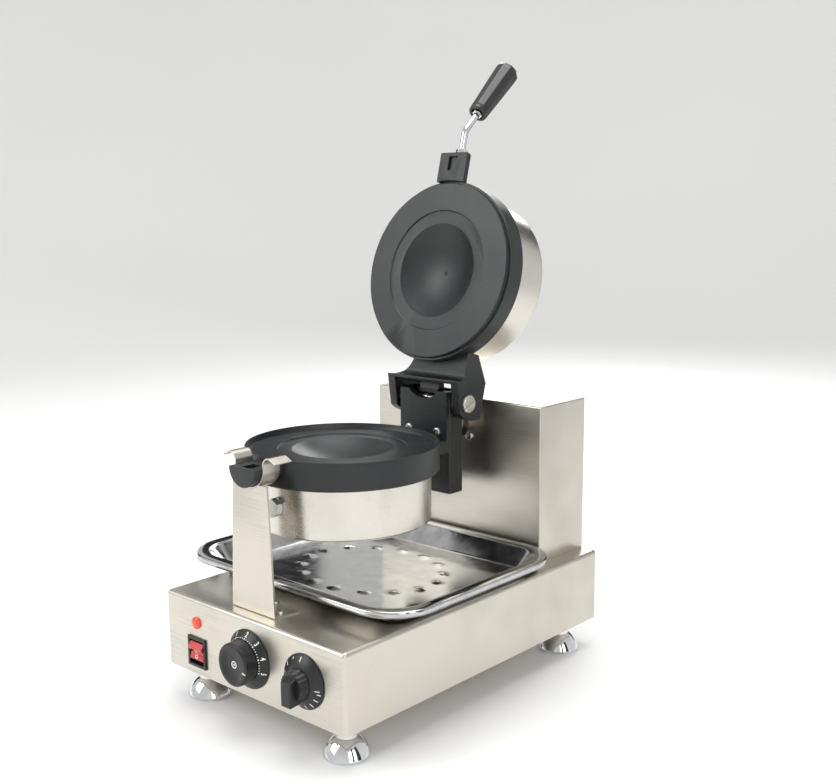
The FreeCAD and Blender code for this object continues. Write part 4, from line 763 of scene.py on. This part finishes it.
class WM_OT_timer(bpy.types.Operator):
    """Timer: numbered skirt, dished knob, pointer and ring"""
    bl_idname = "wafflemaker.timer"
    bl_label = "Timer"

    def execute(self, context):
        settings = context.scene.wm_dial
        centre, rim_r = dial_cone("timer_dial")
        rim, hub = (rim_r - PRINT_EDGE, 1.7), (TIMER_HUB_R + 0.8, 7.2)
        skirt = [(SKIRT_BORE_R, 0.3), (rim_r, 0.3), (rim_r, 1.1), rim, hub, (TIMER_HUB_R, SKIRT_TOP),
                 (SKIRT_BORE_R, SKIRT_TOP), (SKIRT_BORE_R, 0.3)]
        new_piece("timer_dial_skirt", turned(skirt, centre, FORWARD, 128), "base", "black_plastic",
                  MATERIALS["moulding"], "timer_dial")
        numeral = settings.numeral / MM
        marks = []
        for i in range(settings.timer_steps + 1):
            clock = TIMER_START + TIMER_SWEEP * i / settings.timer_steps
            marks.append((text_art(str(i), numeral), clock, 25.0))
        dots = settings.timer_steps * DOTS_PER_STEP
        for i in range(dots + 1):
            clock = TIMER_START + TIMER_SWEEP * i / dots
            marks.append((dot_art(0.42 if i % DOTS_PER_STEP else 0.62), clock, 21.9))
        art = printed(settings, centre, rim, hub, marks)
        new_piece("timer_dial_print", art, "base", "black_plastic", MATERIALS["print"])
        self.knob(centre)
        return {"FINISHED"}

    def knob(self, centre):
        low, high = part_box("timer_knob")
        front = (PANEL_FOOT.y - low.y) / MM
        r = (high.z - low.z) / 2 / MM
        profile = [(0, 7.8), (r - 0.4, 7.8), (r, 8.3), (r - 0.3, front - 2.6)]
        profile += rounded_corner((r - 0.3, front - 2.4), (r - 0.4, front), (r - 3.0, front), 6)
        profile += rounded_corner((r - 3.4, front), (r - 5.5, front - 0.1), (r - 8.0, front - 1.6), 5)
        profile += [(r - 11.0, front - 2.5), (r - 15.0, front - 2.9), (0, front - 3.0)]
        new_piece("timer_knob_turned", turned(profile, centre, FORWARD, 128), "timer", "black_plastic",
                  MATERIALS["moulding"], "timer_knob", smooth=40)
        emblem = bmesh.new()
        dish = centre + FORWARD * (front - 3.0) * MM
        ring = [(2.5, 0.0), (3.5, 0.0), (3.5, 0.35), (2.5, 0.35), (2.5, 0.0)]
        joined(emblem, turned(ring, dish, FORWARD, 48))
        joined(emblem, turned([(0, 0), (1.0, 0), (1.0, 0.35), (0, 0.35)], dish, FORWARD, 24))
        pointer = bmesh.new()
        bmesh.ops.create_cube(pointer, size=1.0)
        bmesh.ops.scale(pointer, vec=(4.4 * MM, 0.5 * MM, 1.2 * MM), verts=pointer.verts)
        bmesh.ops.translate(pointer, vec=((r - 3.6) * MM, 0, 0), verts=pointer.verts)
        bmesh.ops.rotate(pointer, verts=pointer.verts, cent=(0, 0, 0),
                         matrix=Matrix.Rotation(math.radians(POINTER_CLOCK), 3, "Y"))
        bmesh.ops.translate(pointer, vec=centre + FORWARD * (front - 0.18) * MM, verts=pointer.verts)
        joined(emblem, pointer)
        new_piece("timer_knob_marks", emblem, "timer", "black_plastic", MATERIALS["print"])


class WM_OT_thermostat(bpy.types.Operator):
    """Thermostat: marked skirt, fluted hub and bar grip in one moulding"""
    bl_idname = "wafflemaker.thermostat"
    bl_label = "Thermostat"

    def execute(self, context):
        settings = context.scene.wm_dial
        centre, rim_r = dial_cone("thermostat_knob")
        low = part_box("thermostat_knob")[0]
        front = (PANEL_FOOT.y - low.y) / MM
        rim, hub = (rim_r - PRINT_EDGE, 1.9), (THERMOSTAT_HUB_R + 1.4, 7.3)
        skirt = [(0, 0.5), (rim_r, 0.5), (rim_r, 1.3), rim, hub, (THERMOSTAT_HUB_R + 0.6, SKIRT_TOP),
                 (0, SKIRT_TOP)]
        knob = turned(skirt, centre, FORWARD, 128)
        joined(knob, self.fluted_hub(centre, THERMOSTAT_HUB_R))
        new_piece("thermostat_knob_base", knob, "thermostat", "black_plastic", MATERIALS["moulding"])
        grip = soften(new_piece("thermostat_knob_bar", self.bar(centre, front), "thermostat",
                                "black_plastic", MATERIALS["moulding"], "thermostat_knob"), 0.0013, 4)
        grip.modifiers["Edge"].angle_limit = math.radians(25)
        marks = [(bar_art(0.9, 4.0), clock, 21.6) for clock in (-78, -52, 0, 122, 143, 165, 188)]
        marks.append((bar_art(0.7, 2.2), -26, 22.4))
        marks.append((text_art("1", settings.numeral / MM), 96, 20.6))
        marks.append((bar_art(0.9, 3.0), 104, 22.4))
        art = printed(settings, centre, rim, hub, marks)
        new_piece("thermostat_print", art, "thermostat", "black_plastic", MATERIALS["print"])
        return {"FINISHED"}

    def fluted_hub(self, centre, radius):
        """Tapered hub whose side is fluted for the fingers."""
        hub = bmesh.new()
        bmesh.ops.create_cone(hub, cap_ends=True, segments=HUB_FLUTES * 4, radius1=radius * MM,
                              radius2=(radius - 2.0) * MM, depth=HUB_DEPTH * MM)
        for vert in hub.verts:
            turn = math.atan2(vert.co.y, vert.co.x)
            vert.co.xy *= 1.0 - 0.045 * (0.5 - 0.5 * math.cos(turn * HUB_FLUTES))
        seat = centre + FORWARD * (7.2 + 4.5) * MM
        bmesh.ops.transform(hub, matrix=Matrix.Translation(seat) @ along(FORWARD), verts=hub.verts)
        return hub

    def bar(self, centre, front):
        """Bar grip, drawn from the side as (distance from the panel, height) and pushed across."""
        outline = [(7.0, 13.0), (front, 5.5), (front, -17.0), (11.5, -16.0), (7.0, -13.0)]
        bm = bmesh.new()
        verts = [bm.verts.new(centre + (FORWARD * out + Vector((-BAR_HALF, 0, rise))) * MM)
                 for out, rise in outline]
        face = bm.faces.new(verts)
        swept = bmesh.ops.extrude_face_region(bm, geom=[face])
        moved = [g for g in swept["geom"] if isinstance(g, bmesh.types.BMVert)]
        bmesh.ops.translate(bm, vec=(2 * BAR_HALF * MM, 0, 0), verts=moved)
        bmesh.ops.recalc_face_normals(bm, faces=bm.faces)
        return bm


class WM_OT_switch(bpy.types.Operator):
    """Rocker, bezel and lamp with their marks"""
    bl_idname = "wafflemaker.switch"
    bl_label = "Switch and lamp"

    def execute(self, context):
        soften(refined("switch_bezel", 0.0005, "black_plastic", MATERIALS["moulding"]), 0.0005)
        refined("switch_rocker", 0.0008, "red_plastic", MATERIALS["red"])
        pivot = Vector(JOINTS["rocker_tilt"]["pos_m"])
        turn = Matrix.Rotation(ROCKER_REST, 4, "X")
        marks = bmesh.new()
        low_face = pivot + turn @ (Vector((0, ROCKER_FACE.y, -ROCKER_FACE.z)) * MM)
        slant = turn @ Vector((0, -ROCKER_RISE.z, -ROCKER_RISE.y)).normalized()
        ring = turned([(1.3, 0), (2.0, 0), (2.0, 0.3), (1.3, 0.3), (1.3, 0)], low_face, slant, 32)
        joined(marks, ring)
        high_face = pivot + turn @ (ROCKER_FACE * MM)
        stroke = bmesh.new()
        bmesh.ops.create_cube(stroke, size=1.0)
        bmesh.ops.scale(stroke, vec=(0.8 * MM, 0.4 * MM, 4.0 * MM), verts=stroke.verts)
        face_turn = Matrix.Rotation(math.atan2(-ROCKER_RISE.y, ROCKER_RISE.z), 4, "X")
        bmesh.ops.transform(stroke, matrix=Matrix.Translation(high_face) @ turn @ face_turn,
                            verts=stroke.verts)
        joined(marks, stroke)
        new_piece("rocker_marks", marks, "rocker", "red_plastic", MATERIALS["print"])
        self.lamp()
        return {"FINISHED"}

    def lamp(self):
        low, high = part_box("lamp_lens")
        r = (high.z - low.z) / 2 / MM
        centre = Vector(((low.x + high.x) / 2, PANEL_FOOT.y, (low.z + high.z) / 2))
        profile = [(0, -10.0), (r - 1.7, -10.0), (r - 1.7, 0.0), (r, 0.0), (r, 0.9)]
        profile += rounded_corner((r, 1.1), (r - 0.1, 1.9), (r - 1.0, 1.9)) + [(r - 1.3, 1.5)]
        profile += rounded_corner((r - 1.5, 1.9), (r - 2.2, 3.1), (0, 3.15), 6)
        new_piece("lamp_lens_domed", turned(profile, centre, FORWARD, 64), "base", "lamp_red",
                  MATERIALS["lamp"], "lamp_lens", smooth=45)


class WM_OT_grip(bpy.types.Operator):
    """Flat-sided tapered grip with a round collar and a domed end"""
    bl_idname = "wafflemaker.grip"
    bl_label = "Grip"

    def execute(self, context):
        settings = context.scene.wm_grip
        points = [v.co for v in NODES["grip"].data.vertices]
        axis = (OPEN_TURN @ Vector((0, -math.cos(GRIP_TILT), math.sin(GRIP_TILT)))).normalized()
        reach = [p.dot(axis) for p in points]
        length = (max(reach) - min(reach)) / MM
        side = Vector((1, 0, 0))
        other = axis.cross(side)
        mid_side = (max(p.dot(side) for p in points) + min(p.dot(side) for p in points)) / 2
        mid_other = (max(p.dot(other) for p in points) + min(p.dot(other) for p in points)) / 2
        start = side * mid_side + other * mid_other + axis * min(reach)
        wide = (max(p.dot(side) for p in points) - min(p.dot(side) for p in points)) / 2 / MM
        wide /= math.cos(math.pi / settings.flats)
        small = wide - GRIP_TAPER
        stations = [(4.0, small - 0.6), (6.0, small), (length - 9.0, wide), (length - 5.0, wide * 0.985),
                    (length - 2.4, wide * 0.90), (length - 0.8, wide * 0.74), (length, wide * 0.50)]
        bm = bmesh.new()
        loop = bmesh.ops.create_circle(bm, cap_ends=True, segments=settings.flats,
                                       radius=stations[0][1] * MM)["verts"]
        bmesh.ops.rotate(bm, verts=loop, matrix=Matrix.Rotation(math.pi / settings.flats, 3, "Z"))
        bmesh.ops.translate(bm, vec=(0, 0, stations[0][0] * MM), verts=loop)
        bm.faces.ensure_lookup_table()
        face = bm.faces[0]
        last = stations[0]
        for station in stations[1:]:
            swept = bmesh.ops.extrude_face_region(bm, geom=[face])
            verts = [g for g in swept["geom"] if isinstance(g, bmesh.types.BMVert)]
            faces = [g for g in swept["geom"] if isinstance(g, bmesh.types.BMFace)]
            bmesh.ops.translate(bm, vec=(0, 0, (station[0] - last[0]) * MM), verts=verts)
            ratio = station[1] / last[1]
            bmesh.ops.scale(bm, vec=(ratio, ratio, 1), verts=verts)
            face, last = faces[0], station
        bmesh.ops.recalc_face_normals(bm, faces=bm.faces)
        bmesh.ops.transform(bm, matrix=Matrix.Translation(start) @ along(axis), verts=bm.verts)
        grip = new_piece("grip_flats", bm, "lid", "black_plastic", MATERIALS["bakelite"], "grip", smooth=20)
        soften(grip, settings.edge, 3, 18)
        collar = [(7.4, 3.0), (7.4, 0.0)]
        collar += rounded_corner((small - 1.8, 0.0), (small - 0.9, 0.0), (small - 0.8, 1.0))
        collar += [(small - 0.6, 4.4), (0.0, 4.4), (0.0, 3.0), (7.4, 3.0)]
        new_piece("grip_collar", turned(collar, start, axis, 64), "lid", "black_plastic",
                  MATERIALS["bakelite"])
        return {"FINISHED"}


class WM_OT_fasteners(bpy.types.Operator):
    """Hinge pin and nuts with broken edges"""
    bl_idname = "wafflemaker.fasteners"
    bl_label = "Nuts and pin"

    def execute(self, context):
        for node in ("hinge_pin", "hinge_nut"):
            refined(node, 0.0005, "bright_steel", MATERIALS["zinc"])
        for node in ("rod_nut", "grip_nut"):
            refined(node, 0.0004, "bright_steel", MATERIALS["chrome"])
        return {"FINISHED"}


class WM_OT_stage(bpy.types.Operator):
    """Pale floor, soft lights and the camera"""
    bl_idname = "wafflemaker.stage"
    bl_label = "Stage"

    def execute(self, context):
        stage = context.scene.wm_stage
        self.floor(stage)
        self.flags()
        self.lights()
        self.camera(context, stage)
        return {"FINISHED"}

    def floor(self, stage):
        """Round floor that sweeps up into a pale wall."""
        r = stage.floor_radius
        sweep = rounded_corner((r * 0.6, 0.0), (r, 0.0), (r, r * 0.5), 12)
        path = [(0.0, 0.0), (r * 0.55, 0.0)] + sweep + [(r, r)]
        floor = linked("floor", spun(path, 96, 1e-5))
        mesh = floor.data
        mesh.polygons.foreach_set("use_smooth", [True] * len(mesh.polygons))
        material, tree, shader, where = new_material("matt_white_paper")
        shade = add(tree, "ShaderNodeTexNoise", {"Vector": where, "Scale": 0.6})
        tree.links.new(tinted(tree, shade.outputs["Fac"], "F0F0EF", "F5F5F4"), shader.inputs["Base Color"])
        shader.inputs["Roughness"].default_value = 0.9
        shader.inputs["Specular IOR Level"].default_value = 0.1
        mesh.materials.append(material)

    def flags(self):
        """Dark cards round the machine that only its bright metal sees, for contrast."""
        bm = bmesh.new()
        for turn, width in ((-84, 0.34), (70, 0.16), (96, 0.30), (182, 0.5), (238, 0.3)):
            card = bmesh.ops.create_grid(bm, x_segments=1, y_segments=1, size=0.5)["verts"]
            bmesh.ops.scale(bm, vec=(width, 1.1, 1), verts=card)
            bmesh.ops.rotate(bm, verts=card, matrix=Matrix.Rotation(math.pi / 2, 3, "X"))
            bmesh.ops.translate(bm, vec=(0, -1.15, 0.56), verts=card)
            bmesh.ops.rotate(bm, verts=card, matrix=Matrix.Rotation(math.radians(turn), 3, "Z"))
        flags = linked("flags", bm)
        material, tree, shader, where = new_material("black_flag_cloth")
        weave = add(tree, "ShaderNodeTexNoise", {"Vector": where, "Scale": 40.0})
        tree.links.new(tinted(tree, weave.outputs["Fac"], "202021", "2A2A2B"), shader.inputs["Base Color"])
        shader.inputs["Roughness"].default_value = 1.0
        flags.data.materials.append(material)
        flags.visible_camera = False
        flags.visible_diffuse = False
        flags.visible_shadow = False

    def lights(self):
        """Large soft panels: key from the upper left, fill from the right, a strip overhead."""
        target = Vector((0, 0, 0.25))
        panels = [("key", (-1.3, -1.9, 1.7), 1.6, 28.0), ("fill", (2.1, -0.7, 1.0), 1.4, 13.0),
                  ("top", (0.1, 0.2, 2.2), 1.5, 26.0), ("rear", (-0.9, 1.9, 1.3), 1.0, 12.0)]
        for name, spot, size, power in panels:
            light = bpy.data.lights.new(name, "AREA")
            light.shape = "SQUARE"
            light.size = size
            light.energy = power
            lamp = bpy.data.objects.new(name, light)
            lamp.location = spot
            lamp.rotation_euler = (target - Vector(spot)).to_track_quat("-Z", "Y").to_euler()
            bpy.context.scene.collection.objects.link(lamp)
        world = bpy.data.worlds.new("studio")
        bpy.context.scene.world = world
        world.use_nodes = True
        world.node_tree.nodes["Background"].inputs["Color"].default_value = (1, 1, 1, 1)
        world.node_tree.nodes["Background"].inputs["Strength"].default_value = 0.6

    def camera(self, context, stage):
        az, el = stage.azimuth, stage.elevation
        right = Vector((math.cos(az), math.sin(az), 0))
        back = Vector((math.sin(az) * math.cos(el), -math.cos(az) * math.cos(el), math.sin(el)))
        up = back.cross(right)
        c, s = math.cos(stage.roll), math.sin(stage.roll)
        columns = (right * c + up * s, up * c - right * s, back)
        turn = Matrix(columns).transposed().to_4x4()
        data = bpy.data.cameras.new("camera")
        data.lens = stage.lens
        data.sensor_width = 36.0
        data.sensor_fit = "HORIZONTAL"
        camera = bpy.data.objects.new("camera", data)
        camera.matrix_world = Matrix.Translation(PANEL_FOOT + Vector(stage.place)) @ turn
        context.scene.collection.objects.link(camera)
        context.scene.camera = camera
        context.scene.view_settings.view_transform = "Standard"


OPERATORS = (WM_OT_stage, WM_OT_finishes, WM_OT_sheet_metal, WM_OT_castings, WM_OT_drums, WM_OT_tray,
             WM_OT_screws, WM_OT_timer, WM_OT_thermostat, WM_OT_switch, WM_OT_grip, WM_OT_fasteners)


class WM_PT_panel(bpy.types.Panel):
    bl_label = "Waffle cone maker"
    bl_idname = "WM_PT_panel"
    bl_space_type = "VIEW_3D"
    bl_region_type = "UI"
    bl_category = "Waffle Maker"

    def draw(self, context):
        for operator in OPERATORS:
            self.layout.operator(operator.bl_idname)
        for name, group in SETTINGS.items():
            settings = getattr(context.scene, name)
            for field in group.__annotations__:
                self.layout.prop(settings, field)


def register():
    for group in SETTINGS.values():
        bpy.utils.register_class(group)
    for name, group in SETTINGS.items():
        setattr(bpy.types.Scene, name, bpy.props.PointerProperty(type=group))
    for operator in OPERATORS:
        bpy.utils.register_class(operator)
    bpy.utils.register_class(WM_PT_panel)


def unregister():
    bpy.utils.unregister_class(WM_PT_panel)
    for operator in reversed(OPERATORS):
        bpy.utils.unregister_class(operator)
    for name, group in SETTINGS.items():
        delattr(bpy.types.Scene, name)
        bpy.utils.unregister_class(group)


def main():
    register()
    for operator in OPERATORS:
        family, action = operator.bl_idname.split(".")
        getattr(getattr(bpy.ops, family), action)()


if __name__ == "__main__":
    main()
